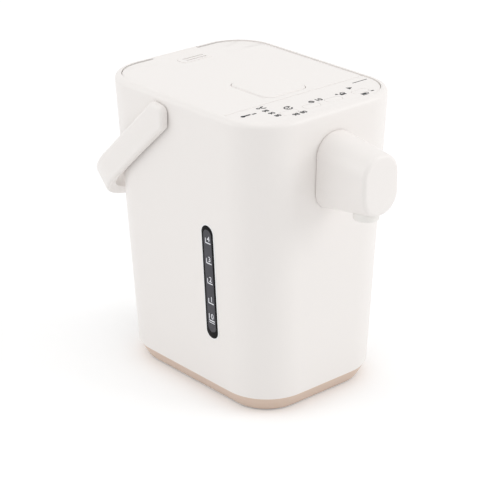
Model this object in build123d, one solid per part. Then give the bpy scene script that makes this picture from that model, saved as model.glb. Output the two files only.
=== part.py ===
from build123d import *
import math
import os

# Electric thermo pot. Millimetres. +Z up, the spout points to -Y, +X to the right seen from the
# front. Pieces are drawn about the centre of the body, on the plane that the feet stand on, and are
# moved along Y as one when they are written.

# ---- driving dimensions ------------------------------------------------------------------------
# body
body_height = 245.0
seam_height = 14.0            # joint of the shell and the base ring
top_width = 154.2
top_depth = 194.6
foot_width = 133.8            # width and depth of the shell at the seam
foot_depth = 179.8
corner_radius = 38.0
shell_wall = 2.8
rim_width = 5.5               # band of the shell around the lid
rim_thickness = 3.0
rim_round = 4.5
body_boss = 4.0               # radius of the screw bosses inside the shell
# base
ring_wall = 3.0
ring_taper = 7.8              # how far each side of the base ring draws in towards the floor
ring_lift = 1.0
plate_thickness = 2.5
plate_level = 2.2             # underside of the base plate
foot_radius = 7.0
vent_slots = 5                # slots in each of two groups: under the power board and at the back
vent_slot_length = 26.0
vent_slot_width = 2.4
vent_slot_pitch = 6.0
vent_slot_x = 22.0
vent_slot_front = -39.0
vent_slot_back = 52.0
foot_spread_x = 42.0
foot_spread_y = 63.0
# inner vessel
vessel_radius = 57.5
vessel_wall = 0.8
vessel_floor = 78.0
vessel_top = 202.0
vessel_y = 16.5
mouth_radius = 51.0
flange_radius = 63.0
shield_radius = 62.0          # outside of the heat shield
shield_wall = 0.8
shield_low = 68.0
strap_width = 14.0            # strap across the shield that carries the sensors
strap_thickness = 1.2
# lid
lid_drop = 0.6                # the lid lies this far below the rim
seam_gap = 0.5                # visible gap around the lid and the panel
lid_front = -52.0
cover_wall = 2.0
edge_round = 0.5
hinge_inset = 3.6             # hinge axis below the rim and in front of the back face
knuckle_round = 3.2           # radius of the lid's knuckle, about the hinge pin
knuckle_half = 23.2
knuckle_gap = 0.4
swing_gap = 0.35              # between the lid's back edge and the rim as the lid swings
pin_radius = 1.25
lid_bar = 11.8                # solid bar along the back edge of the lid
running = 0.05                # radial clearance of a part that turns on a pin
fit_gap = 0.02                # radial clearance of round parts that are pushed together
screw_radius = 1.45
screw_hole = 1.5
# lid button
button_left = -22.0
button_right = 21.0
button_front = -46.0
button_back = 1.5
button_corner = 8.0
button_proud = 0.8
button_pin_radius = 1.2
# keys on the panel
key_width = 15.0
key_depth = 7.4
key_corner = 3.0
key_gap = 0.3
key_proud = 0.1
key_edge_round = 0.3
key_travel = 0.8
key_row_y = -78.8
lamp_x = -41.9
lamp_rows = (-66.2, -73.1, -79.6)
key_places = {"key_reboil": -30.0, "key_temperature": -7.5, "key_unlock": 15.0, "key_dispense": 43.0}
# handle
pivot_y = 15.0
pivot_z = 229.0
handle_tilt = 42.0            # arms below the horizontal when the handle hangs at the back
arm_half = 11.3
arm_proud = 6.9               # how far the arms' outer faces stand off the rim
arm_taper = 3.0               # how far the arms draw in towards the bends
arm_gap = 0.3                 # between an arm and the side of the body
arm_edge_round = 3.0
bend_start = 84.7
bend_radius = 60.0
grip_thickness = 17.0
arm_thickness = 5.0
grip_half = 30.0
grip_depth = 5.0              # shallow finger recess in the grip, with ribs across it
boss_radius = 5.0
bush_wall = 2.4
# water gauge
gauge_y = -33.6
gauge_low = 55.0
gauge_high = 152.0
gauge_width = 13.5
tube_radius = 4.5
tube_bore = 3.3
# spout
nose_half = 18.7
nose_low = 166.5
nose_high = 228.0
nose_top_round = 17.0
nose_bottom_round = 16.0
nose_reach = 50.5
nose_tip_half = 18.0
nose_tip_low = 174.0
nose_tip_high = 221.5
nose_tip_round = 17.0         # corners of the spout's front face
nose_edge_round = 3.5
nose_wall = 2.2
nose_seam_depth = 0.9         # step round the root of the spout, a shadow line against the shell
nose_seam_width = 0.8
nozzle_radius = 10.0
nozzle_low = 167.6
nozzle_reach = 35.0
nozzle_shelf = 180.0          # level of the seat that the nozzle's flange rests on
nozzle_flange = 0.9
nozzle_play = 0.15            # radial clearance of the nozzle in the spout cover
pipe_level = 209.0
pipe_radius = 6.0
pipe_bore = 4.5
# pump
pump_x = -30.0
pump_y = 12.0
chamber_radius = 13.0
chamber_low = 43.5
chamber_high = 53.0
motor_radius = 14.0
spigot_radius = 4.0           # outlet of the vessel and inlet of the pump
spigot_bore = 2.8
# electrics
inlet_width = 38.0
inlet_height = 20.0
inlet_depth = 9.0
inlet_z = 34.0
inlet_pin_x = 7.0
inlet_pin_radius = 2.0
board_thickness = 1.6

# ---- derived levels and outlines ---------------------------------------------------------------
taper_x = (top_width - foot_width) / 2 / (body_height - seam_height)
taper_y = (top_depth - foot_depth) / 2 / (body_height - seam_height)
side_tilt = math.degrees(math.atan(taper_x))
front_tilt = math.degrees(math.atan(taper_y))
lid_top = body_height - lid_drop
lid_height = 8.0
lid_low = lid_top - lid_height
deck_top = lid_low - 0.4
hinge_y = top_depth / 2 - hinge_inset
hinge_z = body_height - hinge_inset + 0.2
deck_bottom = deck_top - 2.5
ledge_top = vessel_top + 4.0
opening_x = top_width / 2 - rim_width
opening_y = top_depth / 2 - rim_width
opening_corner = corner_radius - rim_width
valve_x, valve_y = -30.0, -66.0
hose_radius = tube_radius + 1.5
ring_inner_x = foot_width / 2 - ring_taper - ring_wall
ring_inner_y = foot_depth / 2 - ring_taper - ring_wall
ring_inner_corner = corner_radius - ring_taper - ring_wall


def half_width(z):
    """Half of the shell's outer width at a height."""
    return foot_width / 2 + taper_x * (z - seam_height)


def half_depth(z):
    """Half of the shell's outer depth at a height."""
    return foot_depth / 2 + taper_y * (z - seam_height)


def tapered_block(z_low, z_high, inset):
    """Solid with the shell's outer form between two heights, drawn in by inset all round."""
    sections = []
    for z in (z_low, z_high):
        outline = RectangleRounded(2 * (half_width(z) - inset), 2 * (half_depth(z) - inset),
                                   corner_radius - inset)
        sections.append(Pos(0, 0, z) * outline)
    return loft(sections, ruled=True)


def post(x, y, z_low, z_high, radius):
    """Upright cylinder between two heights."""
    return Pos(x, y, (z_low + z_high) / 2) * Cylinder(radius, z_high - z_low)


def tube(x, y, z_low, z_high, radius, bore):
    """Upright tube between two heights."""
    return post(x, y, z_low, z_high, radius) - post(x, y, z_low - 1, z_high + 1, bore)


def rod_x(x_low, x_high, y, z, radius):
    """Cylinder along X."""
    return Pos((x_low + x_high) / 2, y, z) * Rot(0, 90, 0) * Cylinder(radius, x_high - x_low)


def rod_y(x, y_low, y_high, z, radius):
    """Cylinder along Y."""
    return Pos(x, (y_low + y_high) / 2, z) * Rot(90, 0, 0) * Cylinder(radius, y_high - y_low)


def block(x_low, x_high, y_low, y_high, z_low, z_high):
    """Box between two corners."""
    centre = Pos((x_low + x_high) / 2, (y_low + y_high) / 2, (z_low + z_high) / 2)
    return centre * Box(x_high - x_low, y_high - y_low, z_high - z_low)


def rounded_block(x_low, x_high, y_low, y_high, z_low, z_high, radius):
    """Box with rounded upright corners."""
    outline = RectangleRounded(x_high - x_low, y_high - y_low, radius)
    place = Pos((x_low + x_high) / 2, (y_low + y_high) / 2, z_low)
    return place * extrude(outline, z_high - z_low)


def turned(points, x, y):
    """Solid turned about an upright axis from (radius, height) points."""
    profile = make_face(Polyline(*points, close=True))
    return Pos(x, y, 0) * revolve(Plane.XZ * profile, Axis.Z)


def pipe_run(points, bend, radius, bore):
    """Round pipe along straight runs joined by bends, and the solid of its bore."""
    path = FilletPolyline(*points, radius=bend)
    start = Plane(origin=path @ 0, z_dir=path % 0)
    outer = sweep(start * Circle(radius), path=path)
    inner = sweep(start * Circle(bore), path=path)
    return outer - inner


def pan_screw(x, y, z_seat, length, up=True, radius=screw_radius):
    """Screw whose head rests at z_seat, with the shank going down, or up when up is False."""
    head, shank = 1.6, length
    if up:
        screw = post(x, y, z_seat, z_seat + head, 2 * radius)
        screw += post(x, y, z_seat - shank, z_seat, radius)
        slot = post(x, y, z_seat + head - 0.8, z_seat + head, 0.8)
    else:
        screw = post(x, y, z_seat - head, z_seat, 2 * radius)
        screw += post(x, y, z_seat, z_seat + shank, radius)
        slot = post(x, y, z_seat - head, z_seat - head + 0.8, 0.8)
    return screw - slot


def top_edges(solid):
    """Edges of the highest flat face."""
    return solid.faces().sort_by(Axis.Z)[-1].edges()


# ---- places that several pieces share ----------------------------------------------------------
foot_places = [(sx * foot_spread_x, sy * foot_spread_y) for sx in (-1, 1) for sy in (-1, 1)]
base_screw_x = half_width(seam_height) - shell_wall - 15.0
base_screw_y = 36.0
base_screw_places = [(sx * base_screw_x, sy * base_screw_y) for sx in (-1, 1) for sy in (-1, 1)]
deck_inset = shell_wall + 0.4
boss_from_corner = (opening_corner - cover_wall - 8.0) / math.sqrt(2)
frame_boss_x = opening_x - opening_corner + boss_from_corner
frame_boss_y = opening_y - opening_corner + boss_from_corner
frame_screw_places = [(sx * frame_boss_x, sy * frame_boss_y) for sx in (-1, 1) for sy in (-1, 1)]
clamp_boss_radius = flange_radius + 3.6
clamp_places = [(clamp_boss_radius * math.cos(math.radians(a)),
                 vessel_y + clamp_boss_radius * math.sin(math.radians(a))) for a in (55, 125, 235, 305)]
lid_screw_radius = 59.0
lid_screw_places = [(lid_screw_radius * math.cos(math.radians(a)),
                     vessel_y + lid_screw_radius * math.sin(math.radians(a))) for a in (40, 140, 220, 320)]
pin_half = knuckle_half + 5.0
gauge_mid = (gauge_low + gauge_high) / 2
gauge_plane = Plane(origin=(-half_width(gauge_mid), gauge_y, gauge_mid),
                    x_dir=(-math.sin(math.radians(side_tilt)), 0, math.cos(math.radians(side_tilt))),
                    z_dir=(-math.cos(math.radians(side_tilt)), 0, -math.sin(math.radians(side_tilt))))
front_plane = Plane(origin=(0, -half_depth(pipe_level), pipe_level), x_dir=(1, 0, 0),
                    z_dir=(0, -math.cos(math.radians(front_tilt)), -math.sin(math.radians(front_tilt))))
frame_flange = 1.2            # thickness of the gauge holder behind the shell
tube_inset = shell_wall + frame_flange + 1.6 + tube_radius


def tube_axis(z):
    """Point on the axis of the gauge tube, which leans with the side of the body."""
    return (-half_width(z) + tube_inset, gauge_y, z)


# ---- body --------------------------------------------------------------------------------------
def outer_shell():
    shell = fillet(top_edges(tapered_block(seam_height, body_height, 0)), rim_round)
    shell -= tapered_block(seam_height - 1, body_height - rim_thickness, shell_wall)
    shell -= rounded_block(-opening_x, opening_x, -opening_y, opening_y,
                           body_height - 2 * rim_thickness, body_height + 1, opening_corner)
    inside = tapered_block(seam_height, body_height - rim_thickness, shell_wall / 2)
    for x, y in base_screw_places:
        boss = post(x, y, seam_height + 1, seam_height + 16, body_boss)
        boss += web(x, y, seam_height + 4, seam_height + 16)
        shell += (boss & inside) - post(x, y, seam_height, seam_height + 13, screw_hole)
    for x, y in frame_screw_places:
        boss = post(x, y, deck_bottom - 18, deck_bottom, body_boss)
        boss += web(x, y, deck_bottom - 18, deck_bottom)
        shell += (boss & inside) - post(x, y, deck_bottom - 12, deck_bottom + 1, screw_hole)
    shell -= extrude(gauge_plane * SlotOverall(gauge_high - gauge_low, gauge_width), 8, both=True)
    front = -half_depth(pipe_level)
    shell -= rod_y(0, front - 5, front + 8, pipe_level, pipe_radius + 0.6)
    for x, z in nose_screw_places:
        shell -= rod_y(x, -half_depth(z) - 5, -half_depth(z) + 8, z, 1.6)
    for side in (-1, 1):
        wall = side * half_width(pivot_z)
        shell -= rod_x(wall - 8, wall + 8, pivot_y, pivot_z, boss_radius + bush_wall)
    cheeks = block(-knuckle_half - 7, knuckle_half + 7, opening_y, half_depth(body_height),
                   hinge_z - knuckle_round - 1, body_height - rim_thickness / 2)
    shell += cheeks & tapered_block(seam_height, body_height, shell_wall / 2)
    shell -= block(-knuckle_half - knuckle_gap, knuckle_half + knuckle_gap, opening_y - 5,
                   half_depth(body_height) + 5, hinge_z - knuckle_round - knuckle_gap, body_height + 1)
    shell -= rod_x(-pin_half - 0.3, pin_half + 0.3, hinge_y, hinge_z, pin_radius + fit_gap)
    shell -= block(-inlet_width / 2, inlet_width / 2, half_depth(inlet_z) - 8, half_depth(inlet_z) + 8,
                   inlet_z - inlet_height / 2, inlet_z + inlet_height / 2)
    return shell


def web(x, y, z_low, z_high):
    """Rib that joins a screw boss to the side wall of the shell."""
    side = math.copysign(top_width / 2, x)
    return block(min(x, side), max(x, side), y - 0.9, y + 0.9, z_low, z_high)


def base_ring():
    low_x, low_y = ring_inner_x + ring_wall, ring_inner_y + ring_wall
    bottom = Pos(0, 0, ring_lift) * RectangleRounded(2 * low_x, 2 * low_y, corner_radius - ring_taper)
    top = Pos(0, 0, seam_height) * RectangleRounded(foot_width, foot_depth, corner_radius)
    outer = loft([bottom, top], ruled=True)
    outer = fillet(outer.faces().sort_by(Axis.Z)[0].edges(), 3.0)
    lip = tapered_block(seam_height, seam_height + 3, shell_wall + 0.3)
    inner_top = shell_wall + 0.3 + 2.2
    inner = loft([Pos(0, 0, 0) * RectangleRounded(2 * ring_inner_x, 2 * ring_inner_y, ring_inner_corner),
                  Pos(0, 0, seam_height + 4) * RectangleRounded(foot_width - 2 * inner_top,
                                                               foot_depth - 2 * inner_top,
                                                               corner_radius - inner_top)], ruled=True)
    ring = outer + lip - inner
    shelf_low = plate_level + plate_thickness
    shelf = RectangleRounded(2 * ring_inner_x + 4, 2 * ring_inner_y + 4, ring_inner_corner + 2)
    shelf -= RectangleRounded(2 * ring_inner_x - 4, 2 * ring_inner_y - 4, ring_inner_corner - 2)
    return ring + Pos(0, 0, shelf_low) * extrude(shelf, 2)


def base_plate():
    half_x, half_y = ring_inner_x + 0.2, ring_inner_y + 0.2
    z_high = plate_level + plate_thickness
    plate = rounded_block(-half_x, half_x, -half_y, half_y, plate_level, z_high, ring_inner_corner)
    for x, y in base_screw_places:
        plate += post(x, y, z_high - 1, seam_height + 1, 4.6)
        plate -= post(x, y, plate_level - 1, plate_level + 4, 3.3)
        plate -= post(x, y, plate_level, seam_height + 2, 1.7)
    plate += tube(pump_x, pump_y, z_high, z_high + 8, motor_radius + 1.8, motor_radius + 0.1)
    plate += post(pump_x, pump_y, z_high, z_high + 4, motor_radius + 0.5)
    for x, y in board_posts:
        plate += post(x, y, z_high, board_level, 3.0) - post(x, y, z_high + 1, board_level + 1, 1.1)
    for x, y in foot_places:
        plate -= post(x, y, plate_level - 1, plate_level + 1, foot_radius)
    slot = extrude(SlotOverall(vent_slot_length, vent_slot_width), 2 * z_high)
    for k in range(vent_slots):
        step = vent_slot_pitch * (k - (vent_slots - 1) / 2)
        plate -= Pos(vent_slot_x, vent_slot_front + step, 0) * slot
        plate -= Pos(0, vent_slot_back + step, 0) * slot
    return plate


def rubber_feet():
    feet = []
    for x, y in foot_places:
        foot = post(x, y, 0, plate_level + 1, foot_radius)
        feet.append(chamfer(foot.faces().sort_by(Axis.Z)[0].edges(), 0.6))
    return feet


def base_screws():
    return [pan_screw(x, y, plate_level + 4, 18, up=False) for x, y in base_screw_places]


# ---- top frame: deck under the lid, pouring funnel and ledge over the vessel ---------------------
def top_frame():
    deck = tapered_block(deck_bottom, deck_top, deck_inset)
    upstand = tapered_block(deck_top, body_height - rim_thickness, deck_inset)
    upstand -= rounded_block(-opening_x - 0.3, opening_x + 0.3, -opening_y - 0.3, opening_y + 0.3,
                             deck_top - 1, body_height, opening_corner)
    frame = deck + upstand
    funnel = turned([(0, ledge_top - 2.5), (clamp_boss_radius + 3.5, ledge_top - 2.5),
                     (clamp_boss_radius + 3.5, ledge_top), (59.2, ledge_top), (62, deck_bottom + 1),
                     (0, deck_bottom + 1)], 0, vessel_y)
    frame += funnel
    for x, y in clamp_places:
        frame += post(x, y, ledge_top - 1, ledge_top + 8, 3.4)
    frame -= turned([(0, ledge_top - 3), (mouth_radius, ledge_top - 3), (mouth_radius, ledge_top),
                     (57, ledge_top), (60, deck_top + 1), (0, deck_top + 1)], 0, vessel_y)
    for x, y in clamp_places:
        frame -= post(x, y, ledge_top - 3, ledge_top + 6, 1.5)
    for x, y in frame_screw_places:
        frame -= post(x, y, deck_bottom - 1, deck_top + 1, 1.8)
    frame -= block(-14, 14, latch_pocket_front, vessel_y - 62, deck_bottom - 5, deck_top + 3)
    for side in (-1, 1):
        wall = side * half_width(pivot_z)
        frame -= rod_x(wall - 12, wall + 12, pivot_y, pivot_z, boss_radius + bush_wall + 4)
    frame -= block(-knuckle_half - 8, knuckle_half + 8, opening_y - 5, half_depth(body_height), deck_top,
                   body_height)
    return frame


def frame_screws():
    screws = [pan_screw(x, y, deck_top, 12) for x, y in frame_screw_places]
    screws += [pan_screw(x, y, clamp_low, 10, up=False) for x, y in clamp_places]
    return screws


# ---- vessel ------------------------------------------------------------------------------------
def inner_vessel():
    r, w, floor, top = vessel_radius, vessel_wall, vessel_floor, vessel_top
    shell = turned([(0, floor), (r - 8, floor), (r - 2.5, floor + 2), (r + w, floor + 9), (r + w, top - w),
                    (flange_radius, top - w), (flange_radius, top), (r, top), (r, floor + 9.3),
                    (r - 3, floor + 2.8), (r - 8, floor + w), (0, floor + w)], 0, vessel_y)
    shell += post(pump_x, pump_y, floor - 9, floor + w / 2, spigot_radius)
    return shell - post(pump_x, pump_y, floor - 10, floor + 2, spigot_bore)


def vessel_gasket():
    return tube(0, vessel_y, vessel_top, ledge_top - 2.5, flange_radius - 0.5, mouth_radius + 2)


def clamp_ring():
    low, high = clamp_low, vessel_top - vessel_wall
    ring = tube(0, vessel_y, low, high, flange_radius + 1.2, vessel_radius + vessel_wall + 0.4)
    ring += tube(0, vessel_y, low, low + 1.4, clamp_boss_radius + 3.2, flange_radius)
    ears = ring
    for x, y in clamp_places:
        ears += post(x, y, low, ledge_top - 2.5, 3.2)
    ears -= tube(0, vessel_y, high, ledge_top, flange_radius + 0.3, 30)
    for x, y in clamp_places:
        ears -= post(x, y, low - 1, ledge_top, 1.6)
    return ears


def heat_shield():
    return tube(0, vessel_y, shield_low, clamp_low, shield_radius, shield_radius - shield_wall)


def band_heater():
    inner = vessel_radius + vessel_wall + 0.1
    band = tube(0, vessel_y, vessel_floor + 10, vessel_floor + 38, inner + 1.6, inner)
    gap = block(-3, 3, vessel_y + vessel_radius - 4, vessel_y + vessel_radius + 8, 0, body_height)
    ears = block(-6, 6, vessel_y + inner + 0.4, vessel_y + inner + 2.2, vessel_floor + 12, vessel_floor + 36)
    return band + (ears - tube(0, vessel_y, 0, body_height, inner + 0.5, 1)) - gap


def sensor_bracket():
    reach = shield_radius - shield_wall - fit_gap
    half, low, tab_top = strap_width / 2, shield_low, shield_low + 9
    strap = block(-half, half, vessel_y - reach, vessel_y + reach, low, low + strap_thickness)
    strap &= post(0, vessel_y, low, low + strap_thickness, reach)
    for end in (-1, 1):
        tab = block(-half, half, vessel_y + end * reach - 3, vessel_y + end * reach + 3, low, tab_top)
        strap += tab & tube(0, vessel_y, low, tab_top, reach, reach - strap_thickness)
    return strap


def temperature_sensor():
    low = shield_low + strap_thickness
    return post(0, vessel_y, low, low + 3, 8.0) + post(0, vessel_y, low + 3, vessel_floor, 6.0)


def thermal_cutout():
    low = shield_low + strap_thickness
    body = post(0, vessel_y + 30, low, low + 5, 8.5) + post(0, vessel_y + 30, low + 5, vessel_floor, 6.5)
    for side in (-1, 1):
        body += block(side * 8.2 - 3, side * 8.2 + 3, vessel_y + 27, vessel_y + 33, low + 1, low + 2)
    return body


# ---- pump --------------------------------------------------------------------------------------
def pump_housing():
    low, high = chamber_low, chamber_high
    outer = chamber_radius + 2.5
    housing = turned([(0, low - 2), (12, low - 2), (12, motor_top), (outer, motor_top), (outer, high),
                      (chamber_radius, high), (chamber_radius, low), (0, low)], pump_x, pump_y)
    spigot = rod_y(outlet_x, spigot_end, pump_y, outlet_z, tube_radius)
    housing += spigot - post(pump_x, pump_y, low - 3, high + 1, chamber_radius)
    housing -= rod_y(outlet_x, spigot_end - 1, pump_y, outlet_z, 3.0)
    housing += post(pump_x, pump_y, low - 0.5, high - 1.5, pin_radius)
    return housing


def pump_cover():
    low, high = chamber_high, chamber_high + 2.5
    cover = post(pump_x, pump_y, low, high, chamber_radius + 2.5)
    cover += post(pump_x, pump_y, low - 1.2, low, chamber_radius - fit_gap)
    cover += post(pump_x, pump_y, high, high + 9, spigot_radius)
    return cover - post(pump_x, pump_y, low - 2, high + 10, spigot_bore)


def pump_motor():
    case = post(pump_x, pump_y, motor_low, motor_top, motor_radius)
    case = chamfer(case.faces().sort_by(Axis.Z)[0].edges(), 1.0)
    return case - post(pump_x, pump_y, motor_top - 10, motor_top + 1, pin_radius + 1.2)


def drive_magnet():
    disc = post(pump_x, pump_y, motor_top + 1.2, chamber_low - 2.6, 10.5)
    return disc + post(pump_x, pump_y, motor_top - 9, motor_top + 2, pin_radius)


def impeller():
    low = chamber_low + 0.8
    wheel = post(pump_x, pump_y, low, low + 3.0, 10.5) + post(pump_x, pump_y, low + 3, low + 6.2, 3.2)
    for k in range(6):
        vane = block(2.6, 10.2, -0.6, 0.6, low + 2.5, low + 6.2)
        wheel += Pos(pump_x, pump_y, 0) * Rot(0, 0, 60 * k) * vane
    return wheel - post(pump_x, pump_y, low - 1, low + 8, pin_radius + running)


def suction_hose():
    return tube(pump_x, pump_y, chamber_high + 3.5, vessel_floor - 1, hose_radius, spigot_radius + fit_gap)


def outlet_hose():
    low_end = tube_axis(outlet_z)
    points = [(outlet_x, spigot_end + 8, outlet_z), (outlet_x, gauge_y, outlet_z), low_end,
              tube_axis(outlet_z + 13)]
    return pipe_run(points, 8.0, hose_radius, tube_radius + fit_gap)


# ---- water gauge -------------------------------------------------------------------------------
def gauge_tube():
    path = Line(tube_axis(outlet_z + 8), tube_axis(gauge_high + 8))
    start = Plane(origin=path @ 0, z_dir=path % 0)
    return sweep(start * Circle(tube_radius), path=path) - sweep(start * Circle(tube_bore), path=path)


def gauge_window():
    length, width = gauge_high - gauge_low - 0.4, gauge_width - 0.4
    lens = extrude(gauge_plane * SlotOverall(length, width), 0.9)
    return lens + extrude(gauge_plane * SlotOverall(length, width), -shell_wall)


def gauge_holder():
    length, width = gauge_high - gauge_low + 8, gauge_width + 6
    back = Pos(0, 0, -shell_wall - frame_flange)
    plate = extrude(gauge_plane * back * SlotOverall(length, width), frame_flange)
    plate -= extrude(gauge_plane * back * SlotOverall(length - 14, width - 11), 4, both=True)
    for z in (gauge_low + 14, gauge_high - 12):
        x, y, _ = tube_axis(z)
        clip = Pos(0, 0, z) * (Pos(x, y, 0) * Box(2 * tube_radius + 3, 2 * tube_radius + 4, 5))
        clip += block(-half_width(z) + shell_wall + 0.8, x, y - 5.5, y + 5.5, z - 2.5, z + 2.5)
        clip -= gauge_cutter()
        plate += clip & tapered_block(z - 5, z + 5, shell_wall + 0.01)
    return plate


def gauge_cutter():
    """Room for the gauge tube, a hair larger than it."""
    path = Line(tube_axis(gauge_low - 20), tube_axis(gauge_high + 20))
    start = Plane(origin=path @ 0, z_dir=path % 0)
    return sweep(start * Circle(tube_radius + fit_gap), path=path)


def riser_hose():
    turn = gauge_high + 19
    points = [tube_axis(gauge_high + 1), tube_axis(turn), (valve_x, valve_y, turn),
              (valve_x, valve_y, valve_low + 1)]
    return pipe_run(points, 8.0, hose_radius, tube_radius + fit_gap)


def valve_body():
    low, high = valve_low, valve_high
    body = tube(valve_x, valve_y, low - 4.5, low + 2, tube_radius, 3.0)
    cup = turned([(3.0, low + 1), (9.5, low + 1), (9.5, high), (7.5, high), (7.5, low + 6), (3.0, low + 3)],
                 valve_x, valve_y)
    return body + cup


def valve_cap():
    low = valve_high
    cap = turned([(0, low), (9.5, low), (9.5, low + 13), (0, low + 13)], valve_x, valve_y)
    cap -= turned([(0, low - 1), (3.4, low - 1), (3.4, low + 2), (6.5, low + 4), (6.5, low + 11),
                   (0, low + 11)], valve_x, valve_y)
    cap += turned([(3.4, low - 2), (7.4, low - 2), (7.4, low), (3.4, low)], valve_x, valve_y)
    cap += rod_x(valve_x + 8, valve_x + 20, valve_y, pipe_level, pipe_bore)
    return cap - rod_x(valve_x + 3, valve_x + 21, valve_y, pipe_level, 3.0)


def tip_over_ball():
    return Pos(valve_x, valve_y, ball_rest) * Sphere(ball_radius)


# ---- spout -------------------------------------------------------------------------------------
def nose_outline(half, low, high, top_round, bottom_round):
    """Outline of the spout's cross-section, centred on the pipe level."""
    outline = Pos(0, (low + high) / 2 - pipe_level) * Rectangle(2 * half, high - low)
    corners = outline.vertices().group_by(Axis.Y)
    outline = fillet(corners[-1], top_round)
    corners = outline.vertices().group_by(Axis.Y)
    return fillet(corners[0], bottom_round)


def nose_root(inset):
    return nose_outline(nose_half - inset, nose_low + inset, nose_high - inset, nose_top_round - inset,
                        nose_bottom_round - inset)


def nose_solid(inset, reach):
    tip = Plane(origin=(0, -half_depth(pipe_level) - reach, pipe_level), x_dir=(1, 0, 0), z_dir=(0, -1, 0))
    share = reach / nose_reach
    half = nose_half + (nose_tip_half - nose_half) * share
    low = nose_low + (nose_tip_low - nose_low) * share
    high = nose_high + (nose_tip_high - nose_high) * share
    tip_round = nose_tip_round - inset
    end = nose_outline(half - inset, low + inset, high - inset, tip_round, tip_round)
    return loft([front_plane * nose_root(inset), tip * end], ruled=True)


nose_screw_places = [(-11.0, 190.0), (11.0, 190.0)]


def spout_cover():
    cover = nose_solid(0, nose_reach)
    cover = fillet(cover.faces().sort_by(Axis.Y)[0].edges(), nose_edge_round)
    cover -= extrude(front_plane * (nose_root(-1.0) - nose_root(nose_seam_depth)), nose_seam_width)
    inside = nose_solid(nose_wall, nose_reach - nose_wall - 0.4)
    y_nozzle = -half_depth(pipe_level) - nozzle_reach
    seat = post(0, y_nozzle, nose_low, nozzle_shelf, nozzle_radius + 2.4)
    cover = cover - inside + (seat & nose_solid(nose_wall / 2, nose_reach - nose_wall / 2))
    cover -= post(0, y_nozzle, nose_low - 5, nozzle_shelf + 1, nozzle_radius + nozzle_play)
    for x, z in nose_screw_places:
        face = -half_depth(z)
        cover += rod_y(x, face - 20, face - 0.4, z, 3.2) - rod_y(x, face - 14, face + 1, z, 1.2)
        wall = math.copysign(nose_half - nose_wall / 2, x)
        rib = block(min(x, wall), max(x, wall), face - 18, face - 0.6, z - 1, z + 1)
        cover += rib - rod_y(x, face - 21, face + 1, z, 3.0)
    return cover


def spout_screws():
    screws = []
    for x, z in nose_screw_places:
        seat = -half_depth(z) + shell_wall + 0.2
        screws.append(rod_y(x, seat - 12, seat, z, 1.2) + rod_y(x, seat, seat + 1.6, z, 3.0))
    return screws


def spout_nozzle():
    y = -half_depth(pipe_level) - nozzle_reach
    shelf, flange, neck = nozzle_shelf, nozzle_radius + nozzle_flange, nozzle_radius - 2.0
    return turned([(pipe_bore, nozzle_low + 5), (7.5, nozzle_low), (nozzle_radius - 0.6, nozzle_low),
                   (nozzle_radius, nozzle_low + 0.6), (nozzle_radius, shelf), (flange, shelf),
                   (flange, shelf + 1.6), (neck, shelf + 1.6), (neck, shelf + 10),
                   (pipe_radius + running, shelf + 10), (pipe_radius + running, shelf + 1),
                   (pipe_bore, shelf + 1)], 0, y)


def spout_pipe():
    y = -half_depth(pipe_level) - nozzle_reach
    points = [(valve_x + 10, valve_y, pipe_level), (0, valve_y, pipe_level), (0, y, pipe_level),
              (0, y, nozzle_shelf + 1)]
    return pipe_run(points, 9.0, pipe_radius, pipe_bore + fit_gap)


# ---- control panel -----------------------------------------------------------------------------
def cap_outline(inset, front, back):
    """Plan of the lid and panel together, drawn in by inset and cut to a stretch of depth."""
    gap = seam_gap + inset
    full = RectangleRounded(2 * (opening_x - gap), 2 * (opening_y - gap), opening_corner - gap)
    strip = Pos(0, (front + back) / 2) * Rectangle(3 * opening_x, back - front)
    return full & strip


def key_cap(x, margin, z_low, z_high):
    half_x, half_y = key_width / 2 + margin, key_depth / 2 + margin
    return rounded_block(x - half_x, x + half_x, key_row_y - half_y, key_row_y + half_y, z_low, z_high,
                         key_corner + margin)


def control_panel():
    front, back = -opening_y, lid_front - 0.6
    panel = Pos(0, 0, panel_low) * extrude(cap_outline(0, front, back), lid_top - panel_low)
    panel = fillet(top_edges(panel), edge_round)
    cavity = cap_outline(cover_wall, front + cover_wall, back - cover_wall)
    panel -= Pos(0, 0, panel_low - 1) * extrude(cavity, lid_top - cover_wall - panel_low + 1)
    for x in key_places.values():
        panel -= key_cap(x, key_gap, lid_top - cover_wall - 1, lid_top + 1)
    return panel


def panel_board():
    board = block(-50, 51, -88, -58, deck_top, deck_top + board_thickness)
    return board & tapered_block(deck_top - 1, deck_top + 5, rim_width + 3)


def panel_components():
    """Push switches under the keys and the three indicator lamps, all soldered to the panel board."""
    low = deck_top + board_thickness
    switches = [block(lamp_x - 1.5, lamp_x + 1.5, y - 1.2, y + 1.2, low, low + 2.0) for y in lamp_rows]
    for x in key_places.values():
        body = block(x - 3, x + 3, key_row_y - 3, key_row_y + 3, low, low + 1.2)
        switches.append(body + post(x, key_row_y, low + 1.2, switch_top, 1.6))
    return switches


def key(x):
    cap = key_cap(x, 0, key_low, lid_top + key_proud)
    cap = fillet(top_edges(cap), key_edge_round)
    return cap + key_cap(x, 1.0, key_low, key_low + 0.9)


# ---- lid ---------------------------------------------------------------------------------------
def button_block(inset, z_low, z_high):
    return rounded_block(button_left + inset, button_right - inset, button_front + inset,
                         button_back - inset, z_low, z_high, button_corner - inset)


def back_edge(x):
    """Back edge of the opening at a distance from the middle, round its corner."""
    past = max(0.0, x - (opening_x - opening_corner))
    return opening_y - opening_corner + math.sqrt(opening_corner ** 2 - past ** 2)


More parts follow.
